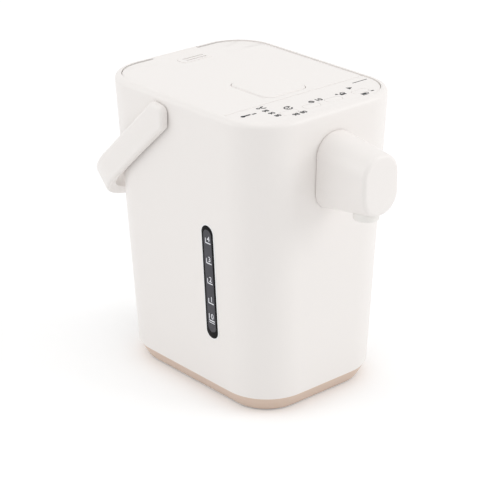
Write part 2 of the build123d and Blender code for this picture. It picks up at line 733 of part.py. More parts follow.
def swing_room():
    """Space about the hinge axis that the lid must leave empty so that its back edge clears the rim."""
    widest = opening_x - opening_corner + 0.7 * opening_corner
    steps = 16
    places = [widest * k / steps for k in range(steps + 1)]
    rise = body_height - hinge_z
    reach = [math.hypot(hinge_y - back_edge(x), rise) + swing_gap for x in places]
    half = [(x, r) for x, r in zip(places, reach)]
    profile = make_face(Polyline((0, 0), *half, (widest, 0), close=True))
    turned_half = Pos(0, hinge_y, hinge_z) * revolve(profile, Axis.X)
    return turned_half + mirror(turned_half, Plane.YZ)


def lid_cover():
    low = lid_low
    cover = Pos(0, 0, low) * extrude(cap_outline(0, lid_front, opening_y), lid_height)
    cover = fillet(top_edges(cover), edge_round)
    cover -= swing_room()
    cavity = Pos(0, 0, low - 1) * extrude(cap_outline(cover_wall, lid_front + cover_wall, lid_bar_front),
                                          lid_height - cover_wall + 1)
    cover -= cavity
    knuckle = rod_x(-knuckle_half, knuckle_half, hinge_y, hinge_z, knuckle_round)
    knuckle += block(-knuckle_half, knuckle_half, lid_bar_front + 2, hinge_y, hinge_z - knuckle_round,
                     lid_top)
    cover += knuckle - rod_x(-knuckle_half - 1, knuckle_half + 1, hinge_y, hinge_z, pin_radius + running)
    cover -= button_block(-0.4, low, lid_top + 1)
    cover -= block(-12.5, 12.5, lid_front - 1, lid_front + cover_wall + 0.1, low - 1, low + 3.2)
    for x, y in lid_screw_places:
        cover += post(x, y, base_flange_top + 2, lid_top - cover_wall + 0.5, 3.2)
        cover -= post(x, y, base_flange_top, lid_top - 1, 1.25)
    for x in (button_left - 3.6, button_right + 0.6):
        lug = block(x, x + 3, button_pin_y - 3, button_pin_y + 3, button_pin_z - 2,
                    lid_top - cover_wall + 0.2)
        cover += lug - rod_x(x - 1, x + 4, button_pin_y, button_pin_z, button_pin_radius)
    cover -= vent_pocket(0.1, lid_top - 1.2, lid_top + 1)
    cover -= block(vent_x - 10, vent_x + 10, vent_y - 2.5, vent_y + 2.5, low, lid_top + 1)
    return cover


def vent_pocket(margin, z_low, z_high):
    half_x, half_y = vent_half_x + margin, vent_half_y + margin
    return rounded_block(vent_x - half_x, vent_x + half_x, vent_y - half_y, vent_y + half_y,
                         z_low, z_high, 3.0)


def vent_cover():
    cover = vent_pocket(0, lid_top - 1.2, lid_top + 0.5)
    cover = fillet(top_edges(cover), 0.5)
    for y in (vent_y - 2.2, vent_y + 2.2):
        cover -= Pos(vent_x, y, lid_top - 2) * extrude(SlotOverall(2 * vent_half_x - 9, 1.5), 5)
    return cover


def lid_base():
    low = base_low
    cup = turned([(0, low), (base_foot_radius, low), (base_top_radius, deck_top + 0.2),
                  (base_top_radius, base_flange_low), (base_flange_radius, base_flange_low),
                  (base_flange_radius, base_flange_top), (base_top_radius - 2, base_flange_top),
                  (base_foot_radius - 2, low + 2), (0, low + 2)], 0, vessel_y)
    button_room = block(button_left - 1, button_right + 1, button_front - 2, button_back + 1,
                        latch_low, base_flange_top + 1)
    cup -= button_room
    for x, y in lid_screw_places:
        cup += post(x, y, base_flange_low, base_flange_top + 2, 3.6)
        cup -= post(x, y, base_flange_low - 1, base_flange_low + 1.8, 2.8)
        cup -= post(x, y, base_flange_low, base_flange_top + 3, 1.5)
    duct = block(vent_x - 9, vent_x + 9, steam_y - 6, steam_y + 6, low + 1, duct_top)
    duct += block(vent_x - 9, vent_x + 9, steam_y - 6, vent_y + 5, base_flange_low, duct_top)
    duct &= post(0, vessel_y, low, duct_top, base_flange_radius)
    cup += duct
    cup -= post(vent_x, steam_y, low + 2, duct_top - 1.5, 5.0)
    cup -= block(vent_x - 5, vent_x + 5, steam_y, vent_y + 3, duct_top - 4, duct_top - 1.5)
    cup -= block(vent_x - 5, vent_x + 5, vent_y - 2, vent_y + 3, duct_top - 4, duct_top + 1)
    cup -= steam_holes(low - 1, low + 3)
    cup += tube(spring_x, spring_y, low + 1, low + 8, 5.5, 4.2)
    for side in (-1, 1):
        centre = Pos(side * (latch_half + 1.2), button_front + 4.5, latch_low + 1.15)
        rail = centre * Box(2.4, 11, 3.1)
        cup += rail - tube(0, vessel_y, latch_low - 1, latch_low, base_top_radius + 20,
                           base_top_radius - 0.6)
    return cup


def steam_holes(z_low, z_high):
    """Ring of small holes under the steam ball."""
    ring = [(vent_x + 3.9 * math.cos(math.radians(60 * k)), steam_y + 3.9 * math.sin(math.radians(60 * k)))
            for k in range(6)]
    return [post(x, y, z_low, z_high, 0.8) for x, y in ring]


def steam_ball():
    return Pos(vent_x, steam_y, steam_ball_rest) * Sphere(steam_ball_radius)


def inner_lid():
    low = base_low - 1.8
    disc = post(0, vessel_y, low, base_low, inner_lid_radius)
    disc = fillet(disc.faces().sort_by(Axis.Z)[0].edges(), 1.0)
    return disc - steam_holes(low - 1, base_low + 1)


def lid_gasket():
    inner = inner_lid_radius + fit_gap
    return turned([(inner, ledge_top + 0.3), (54.4, ledge_top + 0.3), (54.4, ledge_top + 1.4),
                   (53.2, base_low), (inner, base_low)], 0, vessel_y)


def lid_screws():
    return [pan_screw(x, y, base_flange_low + 1.8, 4.4, up=False, radius=1.2) for x, y in lid_screw_places]


def lid_button():
    skirt_low = latch_low + 3.0
    button = button_block(0, skirt_low, lid_top + button_proud)
    button = fillet(top_edges(button), 1.6)
    button -= button_block(2.2, skirt_low - 1, lid_top - 1.6)
    for x in (button_left + 2, button_right - 5):
        lug = block(x, x + 3, button_pin_y - 2.6, button_pin_y + 2.6, button_pin_z - 2, lid_top - 1)
        button += lug & button_block(0.2, skirt_low - 2, lid_top)
    button -= block(-latch_half - 3, latch_half + 3, button_front - 1, button_front + 2.4, skirt_low - 1,
                    skirt_low + 2.6)
    driver = block(-3.5, 3.5, wedge_y - 2.6, wedge_y + 3.2, latch_low + 2.9, lid_top - 1)
    solid_wedge = extrude(latch_wedge(0.45), 4.5, both=True)
    solid_wedge += block(-4.5, 4.5, wedge_y + 1.9, wedge_y + 6, latch_low + 1, latch_low + 7)
    button += driver - solid_wedge
    button += post(spring_x, spring_y, spring_high - 0.1, lid_top - 1, 3.0)
    button += post(spring_x, spring_y, spring_high - 3, spring_high, 1.8)
    return button - rod_x(button_left - 5, button_right + 5, button_pin_y, button_pin_z,
                          button_pin_radius + running)


def button_pin():
    return rod_x(button_left - 3.6, button_right + 3.6, button_pin_y, button_pin_z, button_pin_radius)


def button_spring():
    turns, wire, radius = 6, 0.45, 3.4
    pitch = (spring_high - spring_low - 2 * wire) / turns
    helix = Helix(pitch=pitch, height=pitch * turns, radius=radius)
    start = Plane(origin=helix @ 0, z_dir=helix % 0)
    coil = sweep(start * Circle(wire), path=helix, is_frenet=True)
    return Pos(spring_x, spring_y, spring_low + wire) * coil


def latch_wedge(shift):
    """Upright face of the 45 degree wedge that turns the button's push into the latch's travel."""
    low, high = latch_low + 1.8, latch_low + 4.2
    front = wedge_y - shift
    points = [(front, low), (front + high - low, high), (wedge_y + 5, high), (wedge_y + 5, low)]
    return Plane.YZ * make_face(Polyline(*points, close=True))


def latch_bolt():
    half = latch_half - 0.2
    bolt = block(-half, half, latch_front, wedge_y + 5, latch_low, latch_low + 2)
    bolt -= block(-4.6, 4.6, latch_front + 3.2, wedge_y, latch_low - 1, latch_low + 3)
    bolt += extrude(latch_wedge(0), 4.0, both=True)
    bolt += block(-half, half, latch_front, latch_front + 2.5, deck_top - 7, latch_low + 1)
    bolt += block(-half, half, latch_front - 1.1, latch_front + 1, deck_top - 7, deck_top - 4)
    nose = bolt.edges().filter_by(Axis.X).group_by(Axis.Z)[0].sort_by(Axis.Y)[0]
    return chamfer(nose, 1.0)


# ---- hinge -------------------------------------------------------------------------------------
def hinge_pin():
    return rod_x(-pin_half, pin_half, hinge_y, hinge_z, pin_radius)


# ---- handle ------------------------------------------------------------------------------------
def handle():
    tilt = math.radians(handle_tilt)
    plan = Plane(origin=(0, pivot_y, pivot_z), x_dir=(1, 0, 0), z_dir=(0, math.sin(tilt), math.cos(tilt)))
    side = Plane(origin=(0, pivot_y, pivot_z), x_dir=(0, math.cos(tilt), -math.sin(tilt)), z_dir=(-1, 0, 0))
    back = bend_start + bend_radius
    bend_outer = arm_face - arm_taper
    centre_x = bend_outer - bend_radius
    inner_x = bend_outer - arm_thickness
    inner_back = back - grip_thickness
    diagonal = math.sqrt(0.5)
    outer_mid = (centre_x + bend_radius * diagonal, bend_start + bend_radius * diagonal)
    half_outline = [Line((0, back), (centre_x, back)),
                    ThreePointArc((centre_x, back), outer_mid, (bend_outer, bend_start)),
                    Line((bend_outer, bend_start), (arm_face, -20)),
                    Line((arm_face, -20), (arm_inner, -20)),
                    Line((arm_inner, -20), (arm_inner, 50)),
                    Line((arm_inner, 50), (inner_x, bend_start)),
                    EllipticalCenterArc((centre_x, bend_start), inner_x - centre_x,
                                        inner_back - bend_start, start_angle=0, arc_size=90),
                    Line((centre_x, inner_back), (0, inner_back)),
                    Line((0, inner_back), (0, back))]
    half = make_face(half_outline)
    outline = half + mirror(half, Plane.YZ)
    bail = extrude(plan * outline, arm_half, both=True)
    corners = [(back + 5, arm_half), (-1, arm_half), (-12.3, -0.5), (-2.6, -arm_half), (back + 5, -arm_half)]
    profile = make_face(Polyline(*corners, close=True))
    for (along, across), radius in zip(corners[1:4], (6.0, 6.0, 2.0)):
        near = profile.vertices().sort_by_distance((along, across, 0))[0]
        profile = fillet(near, radius)
    bail &= extrude(side * profile, top_width, both=True)
    bail = fillet(bail.faces().filter_by(lambda face: outer_face(face, plan)).edges(), arm_edge_round)
    pocket = Pos(0, inner_back + grip_depth / 2 - 10) * Rectangle(2 * grip_half, grip_depth + 20)
    pocket = extrude(plan * pocket, arm_half - 3.2, both=True)
    for k in range(-2, 3):
        rib = Pos(12 * k, inner_back + grip_depth / 2 + 1) * Rectangle(2, grip_depth)
        pocket -= extrude(plan * rib, arm_half, both=True)
    bail -= pocket
    for sign in (-1, 1):
        bail += rod_between(sign * boss_end, sign * (arm_inner + 1), boss_radius)
        bail -= rod_between(sign * (boss_end - 1), sign * (boss_end + 9), screw_hole)
    return bail


def rod_between(x_one, x_two, radius):
    """Cylinder on the handle's pivot line."""
    return rod_x(min(x_one, x_two), max(x_one, x_two), pivot_y, pivot_z, radius)


def outer_face(face, plan):
    """True for the outward-looking faces of the bail, which run round its plan outline."""
    place = plan.to_local_coords(face.center())
    way = plan.to_local_coords(face.center() + face.normal_at(face.center())) - place
    outward = way.X * place.X + way.Y * max(place.Y, 0)
    return abs(way.Z) < 0.3 and outward > 0 and place.Y > 4


def handle_bushes():
    bushes = []
    flange = boss_radius + bush_wall + 2.2
    outside = half_width(pivot_z) - 0.1
    inside = half_width(pivot_z - flange) - shell_wall - 0.2
    under_lid = block(-inside, inside, pivot_y - flange, pivot_y + flange, lid_low - 0.5, lid_top)
    for sign in (-1, 1):
        bush = rod_between(sign * inside, sign * outside, boss_radius + bush_wall - fit_gap)
        bush += rod_between(sign * (inside - 1.4), sign * inside, flange)
        bush -= under_lid
        bushes.append(bush - rod_between(sign * boss_end, sign * arm_face, boss_radius + running))
    return bushes


def pivot_screws():
    screws = []
    for sign in (-1, 1):
        screw = rod_between(sign * (boss_end - 1.6), sign * boss_end, boss_radius + 1.9)
        screws.append(screw + rod_between(sign * boss_end, sign * (boss_end + 7), screw_radius))
    return screws


# ---- electrics ---------------------------------------------------------------------------------
def main_board():
    board = block(board_x[0], board_x[1], board_y[0], board_y[1], board_level, board_level + board_thickness)
    for x, y in board_posts:
        board -= post(x, y, board_level - 1, board_level + 3, 1.3)
    return board


def board_parts():
    low = board_level + board_thickness
    left, front = board_x[0], board_y[0]
    transformer = block(left + 8, left + 26, front + 3, front + 23, low, low + 20)
    relay = block(left + 29, left + 38, front + 8, front + 24, low, low + 15)
    capacitor = post(left + 32, front + 34, low, low + 18, 5.5)
    sink = block(left + 4, left + 24, front + 30, front + 32, low, low + 16)
    plug = block(left + 9, left + 29, front + 43, front + 51, low, low + 8)
    return [transformer, relay, capacitor, sink, plug]


def power_inlet():
    face = half_depth(inlet_z)
    half_x, half_z = inlet_width / 2 - 0.2, inlet_height / 2 - 0.2
    housing = block(-half_x, half_x, face - inlet_depth - 3, face - 0.3, inlet_z - half_z, inlet_z + half_z)
    housing = fillet(housing.edges().filter_by(Axis.Y), 3.0)
    housing += block(-half_x - 4, half_x + 4, face - shell_wall - 2.2, face - shell_wall - 0.9,
                     inlet_z - half_z - 3, inlet_z + half_z + 3)
    recess = block(-half_x + 2, half_x - 2, face - inlet_depth, face + 1, inlet_z - half_z + 2,
                   inlet_z + half_z - 2)
    housing -= fillet(recess.edges().filter_by(Axis.Y), 2.0)
    for side in (-1, 1):
        housing -= rod_y(side * inlet_pin_x, face - inlet_depth - 5, face, inlet_z, inlet_pin_radius)
    return housing


def inlet_pins():
    face = half_depth(inlet_z)
    inner, outer, radius = face - inlet_depth - 8, face - 3.5, inlet_pin_radius - fit_gap
    return [rod_y(side * inlet_pin_x, inner, outer, inlet_z, radius) for side in (-1, 1)]


# ---- derived places of inner pieces -------------------------------------------------------------
clamp_low = vessel_top - vessel_wall - 2.6
motor_low = plate_level + plate_thickness + 4
motor_top = 34.0
outlet_x = pump_x - chamber_radius + 4
outlet_z = chamber_low + 4.8
spigot_end = pump_y - chamber_radius - 14
board_level = 14.0
board_x = (2.0, 42.0)
board_y = (-66.0, -12.0)
board_edge = 3.5              # from the board's edges to its screws
board_posts = [(x, y) for x in (board_x[0] + board_edge, board_x[1] - board_edge)
               for y in (board_y[0] + board_edge, board_y[1] - board_edge)]
valve_low, valve_high = 184.0, 200.0
ball_radius = 5.0
ball_rest = valve_low + 7.05
latch_pocket_front = lid_front - 0.9
panel_low = deck_top + 0.4
key_low = deck_top + board_thickness + 3.1
switch_top = key_low - key_travel - 0.1
base_low = ledge_top + 3.2
inner_lid_radius = 51.5
base_foot_radius = 53.4
base_top_radius = 56.8
base_flange_low = deck_top + 0.8
base_flange_top = base_flange_low + 2.0
base_flange_radius = 62.4
lid_bar_front = opening_y - lid_bar
vent_x, vent_y = 3.0, 71.0
vent_half_x, vent_half_y = 15.0, 5.6
steam_y = 56.0
duct_top = lid_top - cover_wall - 0.1
steam_ball_radius = 3.6
steam_ball_rest = base_low + 2 + steam_ball_radius + fit_gap
button_pin_y, button_pin_z = button_back - 4.5, lid_top - 3.6
spring_x, spring_y = 0.0, -27.0
spring_low, spring_high = base_low + 2.0, lid_top - 5.0
latch_front = lid_front + 1.2
latch_low = deck_top + 0.4
latch_half = 10.2
wedge_y = -41.5
boss_end = half_width(pivot_z) - shell_wall - 4.0
arm_face = top_width / 2 + arm_proud
arm_inner = half_width(body_height) + arm_gap

nodes = {
    "outer_shell": outer_shell, "base_ring": base_ring, "base_plate": base_plate, "rubber_feet": rubber_feet,
    "base_screws": base_screws, "top_frame": top_frame, "frame_screws": frame_screws,
    "inner_vessel": inner_vessel, "vessel_gasket": vessel_gasket, "clamp_ring": clamp_ring,
    "heat_shield": heat_shield, "band_heater": band_heater, "sensor_bracket": sensor_bracket,
    "temperature_sensor": temperature_sensor, "thermal_cutout": thermal_cutout, "pump_housing": pump_housing,
    "pump_cover": pump_cover, "pump_motor": pump_motor, "drive_magnet": drive_magnet, "impeller": impeller,
    "suction_hose": suction_hose, "outlet_hose": outlet_hose, "gauge_tube": gauge_tube,
    "gauge_window": gauge_window, "gauge_holder": gauge_holder, "riser_hose": riser_hose,
    "valve_body": valve_body, "valve_cap": valve_cap, "tip_over_ball": tip_over_ball,
    "spout_cover": spout_cover, "spout_screws": spout_screws, "spout_nozzle": spout_nozzle,
    "spout_pipe": spout_pipe, "control_panel": control_panel, "panel_board": panel_board,
    "panel_components": panel_components, "lid_cover": lid_cover,
    "vent_cover": vent_cover, "lid_base": lid_base, "steam_ball": steam_ball, "inner_lid": inner_lid,
    "lid_gasket": lid_gasket, "lid_screws": lid_screws, "lid_button": lid_button, "button_pin": button_pin,
    "button_spring": button_spring, "latch_bolt": latch_bolt,
    "hinge_pin": hinge_pin, "handle": handle, "handle_bushes": handle_bushes, "pivot_screws": pivot_screws,
    "main_board": main_board, "board_parts": board_parts, "power_inlet": power_inlet,
    "inlet_pins": inlet_pins,
}
for key_name, key_x in key_places.items():
    nodes[key_name] = lambda x=key_x: key(x)

# The frame's origin lies under the middle of the whole object, from the spout to the handle.
shapes = {}
for node_name, make in nodes.items():
    made = make()
    shapes[node_name] = Compound(children=list(made)) if isinstance(made, list) else made
foremost = shapes["spout_cover"].bounding_box().min.Y
hindmost = shapes["handle"].bounding_box().max.Y
to_frame = Pos(0, -(foremost + hindmost) / 2, 0)

os.makedirs("parts", exist_ok=True)
for node_name, shape in shapes.items():
    export_step(to_frame * shape, f"parts/{node_name}.step")
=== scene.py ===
import math

import bmesh
import bpy
from mathutils import Matrix, Vector


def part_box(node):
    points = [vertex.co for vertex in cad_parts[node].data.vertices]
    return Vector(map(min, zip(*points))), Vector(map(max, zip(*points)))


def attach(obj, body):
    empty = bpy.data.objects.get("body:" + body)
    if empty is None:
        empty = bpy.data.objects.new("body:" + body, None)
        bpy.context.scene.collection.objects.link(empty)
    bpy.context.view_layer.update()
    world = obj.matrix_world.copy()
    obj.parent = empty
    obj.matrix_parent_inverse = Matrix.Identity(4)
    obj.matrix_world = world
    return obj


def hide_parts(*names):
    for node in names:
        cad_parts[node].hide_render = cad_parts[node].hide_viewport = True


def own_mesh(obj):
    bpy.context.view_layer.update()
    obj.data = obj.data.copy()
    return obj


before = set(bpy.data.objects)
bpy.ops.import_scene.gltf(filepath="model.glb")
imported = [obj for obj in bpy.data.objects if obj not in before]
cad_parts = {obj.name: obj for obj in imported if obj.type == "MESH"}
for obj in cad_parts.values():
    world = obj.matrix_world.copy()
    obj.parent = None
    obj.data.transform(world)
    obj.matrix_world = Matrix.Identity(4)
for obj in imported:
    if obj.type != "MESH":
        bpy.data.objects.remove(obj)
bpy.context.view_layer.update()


# ---- Outer shell -------------------------------------------------------------------------------
# The housing is one injection-moulded shell in warm white plastic with a fine satin texture. It
# tapers towards the foot, has large round corners, and is screwed to the base from below.
WARM_WHITE = (0.901, 0.866, 0.840)
RELIEF_DEPTH = 0.00002
MERGE_DISTANCE = 1e-6
SMOOTH_UNDER = math.radians(32.0)


def pattern_group(name, inputs):
    """Node group that puts out a colour, a roughness and a height. Gives back the group and its inputs."""
    group = bpy.data.node_groups.new(name, "ShaderNodeTree")
    for socket, kind, value in inputs:
        made = group.interface.new_socket(socket, in_out="INPUT", socket_type=kind)
        made.default_value = value
    group.interface.new_socket("Colour", in_out="OUTPUT", socket_type="NodeSocketColor")
    group.interface.new_socket("Roughness", in_out="OUTPUT", socket_type="NodeSocketFloat")
    group.interface.new_socket("Height", in_out="OUTPUT", socket_type="NodeSocketFloat")
    return group, group.nodes.new("NodeGroupInput").outputs


def put_out(group, colour, roughness, height):
    """Ends a pattern group."""
    end = group.nodes.new("NodeGroupOutput")
    group.links.new(colour, end.inputs["Colour"])
    group.links.new(roughness, end.inputs["Roughness"])
    group.links.new(height, end.inputs["Height"])


def add_node(tree, kind, **settings):
    """Node with some of its settings changed."""
    node = tree.nodes.new(kind)
    for key, value in settings.items():
        setattr(node, key, value)
    return node


def feed(tree, socket, value):
    """Links an input to an output, or sets it where it is given a number."""
    if isinstance(value, bpy.types.NodeSocket):
        tree.links.new(value, socket)
    else:
        socket.default_value = value


def math_node(tree, operation, *values):
    """Result of one sum on numbers or outputs."""
    node = add_node(tree, "ShaderNodeMath", operation=operation)
    for socket, value in zip(node.inputs, values):
        feed(tree, socket, value)
    return node.outputs[0]


def own_place(tree):
    """Place on the piece, in metres from the frame's origin."""
    return add_node(tree, "ShaderNodeTexCoord").outputs["Object"]


def noise(tree, place, scale, detail):
    """Random pattern that drifts smoothly between nought and one."""
    texture = add_node(tree, "ShaderNodeTexNoise")
    texture.inputs["Detail"].default_value = detail
    feed(tree, texture.inputs["Vector"], place)
    feed(tree, texture.inputs["Scale"], scale)
    return texture.outputs["Fac"]


def centred(tree, pattern):
    """The same pattern about nought."""
    return math_node(tree, "SUBTRACT", pattern, 0.5)


def tinted(tree, colour, drift, strength):
    """Colour made lighter and darker by a drift about nought."""
    scaled = add_node(tree, "ShaderNodeVectorMath", operation="SCALE")
    tree.links.new(colour, scaled.inputs[0])
    tree.links.new(math_node(tree, "MULTIPLY_ADD", drift, strength, 1.0), scaled.inputs["Scale"])
    return scaled.outputs[0]


# Moulded grain: a slow drift of tone and gloss over the surface, and a fine texture from the tool.
grain, grain_in = pattern_group("moulded grain", [
    ("Colour", "NodeSocketColor", (0.8, 0.8, 0.8, 1.0)),
    ("Tone Drift", "NodeSocketFloat", 0.02),
    ("Drift Scale", "NodeSocketFloat", 12.0),
    ("Roughness", "NodeSocketFloat", 0.4),
    ("Gloss Drift", "NodeSocketFloat", 0.06),
    ("Grain Scale", "NodeSocketFloat", 1400.0)])
grain_place = own_place(grain)
grain_slow = centred(grain, noise(grain, grain_place, grain_in["Drift Scale"], detail=3.0))
grain_relief = noise(grain, grain_place, grain_in["Grain Scale"], detail=2.0)
grain_both = math_node(grain, "ADD", grain_slow, centred(grain, grain_relief))
grain_gloss = math_node(grain, "MULTIPLY_ADD", grain_both, grain_in["Gloss Drift"], grain_in["Roughness"])
grain_colour = tinted(grain, grain_in["Colour"], grain_slow, grain_in["Tone Drift"])
put_out(grain, grain_colour, grain_gloss, grain_relief)


def surface(name, group, values, bump, **shader_values):
    """Material whose colour, roughness and height come from a node group."""
    material = bpy.data.materials.new(name)
    material.use_nodes = True
    tree = material.node_tree
    shader = tree.nodes["Principled BSDF"]
    pattern = add_node(tree, "ShaderNodeGroup", node_tree=group)
    for socket, value in values.items():
        pattern.inputs[socket].default_value = value
    tree.links.new(pattern.outputs["Colour"], shader.inputs["Base Color"])
    tree.links.new(pattern.outputs["Roughness"], shader.inputs["Roughness"])
    relief = add_node(tree, "ShaderNodeBump")
    relief.inputs["Strength"].default_value = bump
    relief.inputs["Distance"].default_value = RELIEF_DEPTH
    tree.links.new(pattern.outputs["Height"], relief.inputs["Height"])
    tree.links.new(relief.outputs["Normal"], shader.inputs["Normal"])
    for socket, value in shader_values.items():
        shader.inputs[socket.replace("_", " ")].default_value = value
    return material


def grained(name, colour, roughness=0.4, tone_drift=0.02, grain_scale=1400.0, bump=0.1, **shader_values):
    """Plastic, rubber, ink or plain metal with a fine grain, by its values."""
    values = {"Colour": (*colour, 1.0), "Roughness": roughness, "Tone Drift": tone_drift,
              "Grain Scale": grain_scale}
    return surface(name, grain, values, bump, **shader_values)


def finished(node, material, body):
    """Merged and smoothly shaded copy of a CAD node, which stands for it."""
    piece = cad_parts[node].copy()
    piece.data = piece.data.copy()
    for key in list(piece.keys()):
        del piece[key]
    piece.name = piece.data.name = node + "_finished"
    piece.parent = None
    piece.matrix_world = Matrix.Identity(4)
    bpy.context.scene.collection.objects.link(piece)
    mesh = bmesh.new()
    mesh.from_mesh(piece.data)
    bmesh.ops.remove_doubles(mesh, verts=mesh.verts, dist=MERGE_DISTANCE)
    mesh.to_mesh(piece.data)
    mesh.free()
    if piece.data.has_custom_normals:
        with bpy.context.temp_override(object=piece, active_object=piece, selected_objects=[piece]):
            bpy.ops.mesh.customdata_custom_splitnormals_clear()
    piece.data.shade_smooth()
    piece.data.set_sharp_from_angle(angle=SMOOTH_UNDER)
    piece.data.materials.clear()
    piece.data.materials.append(material)
    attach(piece, body)
    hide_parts(node)
    return piece


white_satin = grained("warm white satin plastic", WARM_WHITE, roughness=0.38)
finished("outer_shell", white_satin, "housing")


# ---- Base ring, base plate and feet ------------------------------------------------------------
# A separate moulded ring in muted rose beige closes the shell's lower edge and draws in to the
# floor. The base plate behind it is held by four long screws and carries four black rubber feet,
# each with a moulded tread.
ROSE_BEIGE = (0.715, 0.562, 0.462)
rose_satin = grained("rose beige satin plastic", ROSE_BEIGE, roughness=0.42, tone_drift=0.03)
finished("base_ring", rose_satin, "housing")
inner_plastic = grained("natural inner plastic", (0.62, 0.60, 0.57), roughness=0.5, tone_drift=0.05)
finished("base_plate", inner_plastic, "housing")
rubber = grained("black rubber", (0.035, 0.034, 0.034), roughness=0.75, tone_drift=0.2, grain_scale=2400.0,
                 bump=0.3)
finished("rubber_feet", rubber, "housing")

zinc = grained("zinc plated steel", (0.62, 0.61, 0.58), roughness=0.32, tone_drift=0.12, grain_scale=2600.0,
               Metallic=1.0)
finished("base_screws", zinc, "housing")


# ---- Deck under the lid ------------------------------------------------------------------------
# One moulding carries the lid and the panel: a flat deck with a funnel that runs down to the mouth
# of the vessel. It is held by four screws in its corners.
deck_plastic = grained("matt white inner plastic", (0.80, 0.78, 0.75), roughness=0.48, tone_drift=0.03)
finished("top_frame", deck_plastic, "housing")
finished("frame_screws", zinc, "housing")


# ---- Inner vessel ------------------------------------------------------------------------------
# The water stands in a deep-drawn stainless pot with a rolled flange. A silicone ring seals it to
# the deck, and a pressed clamp ring pulls it up. A bright sheet keeps its heat in.
def middle(node):
    """Middle of a CAD node's box."""
    low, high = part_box(node)
    return (low + high) / 2


# Turned metal: fine rings round an upright axis that stands at the origin of Place, and a slow drift.
turned, turned_in = pattern_group("turned metal", [
    ("Place", "NodeSocketVector", (0.0, 0.0, 0.0)),
    ("Colour", "NodeSocketColor", (0.6, 0.6, 0.6, 1.0)),
    ("Tone Drift", "NodeSocketFloat", 0.1),
    ("Roughness", "NodeSocketFloat", 0.3),
    ("Line Drift", "NodeSocketFloat", 0.12),
    ("Line Scale", "NodeSocketFloat", 2200.0)])
turned_split = add_node(turned, "ShaderNodeSeparateXYZ")
turned.links.new(turned_in["Place"], turned_split.inputs[0])
across_x = math_node(turned, "MULTIPLY", turned_split.outputs["X"], turned_split.outputs["X"])
across_y = math_node(turned, "MULTIPLY", turned_split.outputs["Y"], turned_split.outputs["Y"])
across = math_node(turned, "SQRT", math_node(turned, "ADD", across_x, across_y))
turned_join = add_node(turned, "ShaderNodeCombineXYZ")
turned.links.new(across, turned_join.inputs["X"])
turned.links.new(turned_split.outputs["Z"], turned_join.inputs["Z"])
turned_lines = noise(turned, turned_join.outputs[0], turned_in["Line Scale"], detail=3.0)
turned_slow = noise(turned, turned_in["Place"], 30.0, detail=3.0)
turned_both = math_node(turned, "ADD", centred(turned, turned_lines), centred(turned, turned_slow))
turned_gloss = math_node(turned, "MULTIPLY_ADD", turned_both, turned_in["Line Drift"],
                         turned_in["Roughness"])
turned_colour = tinted(turned, turned_in["Colour"], turned_both, turned_in["Tone Drift"])
put_out(turned, turned_colour, turned_gloss, turned_lines)


def turned_metal(name, colour, centre, roughness=0.28, tone_drift=0.12, line_scale=2200.0, bump=0.25):
    """Metal with fine rings round an upright axis, as spinning, drawing or rolling leaves them."""
    values = {"Colour": (*colour, 1.0), "Roughness": roughness, "Tone Drift": tone_drift,
              "Line Scale": line_scale}
    material = surface(name, turned, values, bump, Metallic=1.0)
    tree = material.node_tree
    centred_place = add_node(tree, "ShaderNodeMapping")
    centred_place.inputs["Location"].default_value = (-centre.x, -centre.y, 0.0)
    tree.links.new(own_place(tree), centred_place.inputs["Vector"])
    pattern = next(node for node in tree.nodes if node.type == "GROUP")
    tree.links.new(centred_place.outputs["Vector"], pattern.inputs["Place"])
    return material


vessel_centre = middle("vessel_gasket")
stainless = turned_metal("drawn stainless steel", (0.72, 0.71, 0.69), vessel_centre, roughness=0.34)
pressed_steel = turned_metal("pressed steel", (0.52, 0.51, 0.50), vessel_centre, roughness=0.36)
bright_sheet = turned_metal("bright aluminium sheet", (0.78, 0.78, 0.79), vessel_centre, roughness=0.18,
                            line_scale=900.0)
finished("inner_vessel", stainless, "housing")
finished("clamp_ring", pressed_steel, "housing")
finished("heat_shield", bright_sheet, "housing")
silicone = grained("milky silicone", (0.70, 0.70, 0.68), roughness=0.55, tone_drift=0.06, grain_scale=900.0,
                   Subsurface_Weight=0.2, Subsurface_Scale=0.002)
finished("vessel_gasket", silicone, "housing")


# ---- Heater and sensors ------------------------------------------------------------------------
# A mica-wrapped band heater grips the vessel's side. A sprung strap under the floor presses the
# temperature sensor and the cut-out against it.
def mixed(tree, share, first, second):
    """Colour that goes from the first to the second as the share goes from nought to one."""
    mix = add_node(tree, "ShaderNodeMix", data_type="RGBA")
    colour_inputs = [socket for socket in mix.inputs if socket.type == "RGBA"]
    tree.links.new(share, mix.inputs["Factor"])
    tree.links.new(first, colour_inputs[0])
    tree.links.new(second, colour_inputs[1])
    return next(socket for socket in mix.outputs if socket.type == "RGBA")


# Mica wrap: turns of tape round the band, with flecks in the sheet.
wrap, wrap_in = pattern_group("mica wrap", [
    ("Colour", "NodeSocketColor", (0.4, 0.32, 0.2, 1.0)),
    ("Seam Colour", "NodeSocketColor", (0.2, 0.15, 0.1, 1.0)),
    ("Roughness", "NodeSocketFloat", 0.5),
    ("Turns", "NodeSocketFloat", 70.0)])
wrap_place = own_place(wrap)
wrap_bands = add_node(wrap, "ShaderNodeTexWave", wave_type="BANDS", bands_direction="Z")
wrap_bands.inputs["Distortion"].default_value = 1.2
wrap_bands.inputs["Detail"].default_value = 2.0
wrap.links.new(wrap_place, wrap_bands.inputs["Vector"])
wrap.links.new(wrap_in["Turns"], wrap_bands.inputs["Scale"])
wrap_flecks = add_node(wrap, "ShaderNodeTexVoronoi")
wrap_flecks.inputs["Scale"].default_value = 700.0
wrap.links.new(wrap_place, wrap_flecks.inputs["Vector"])
fleck_distance = wrap_flecks.outputs["Distance"]
wrap_seams = math_node(wrap, "MULTIPLY", wrap_bands.outputs["Fac"], fleck_distance)
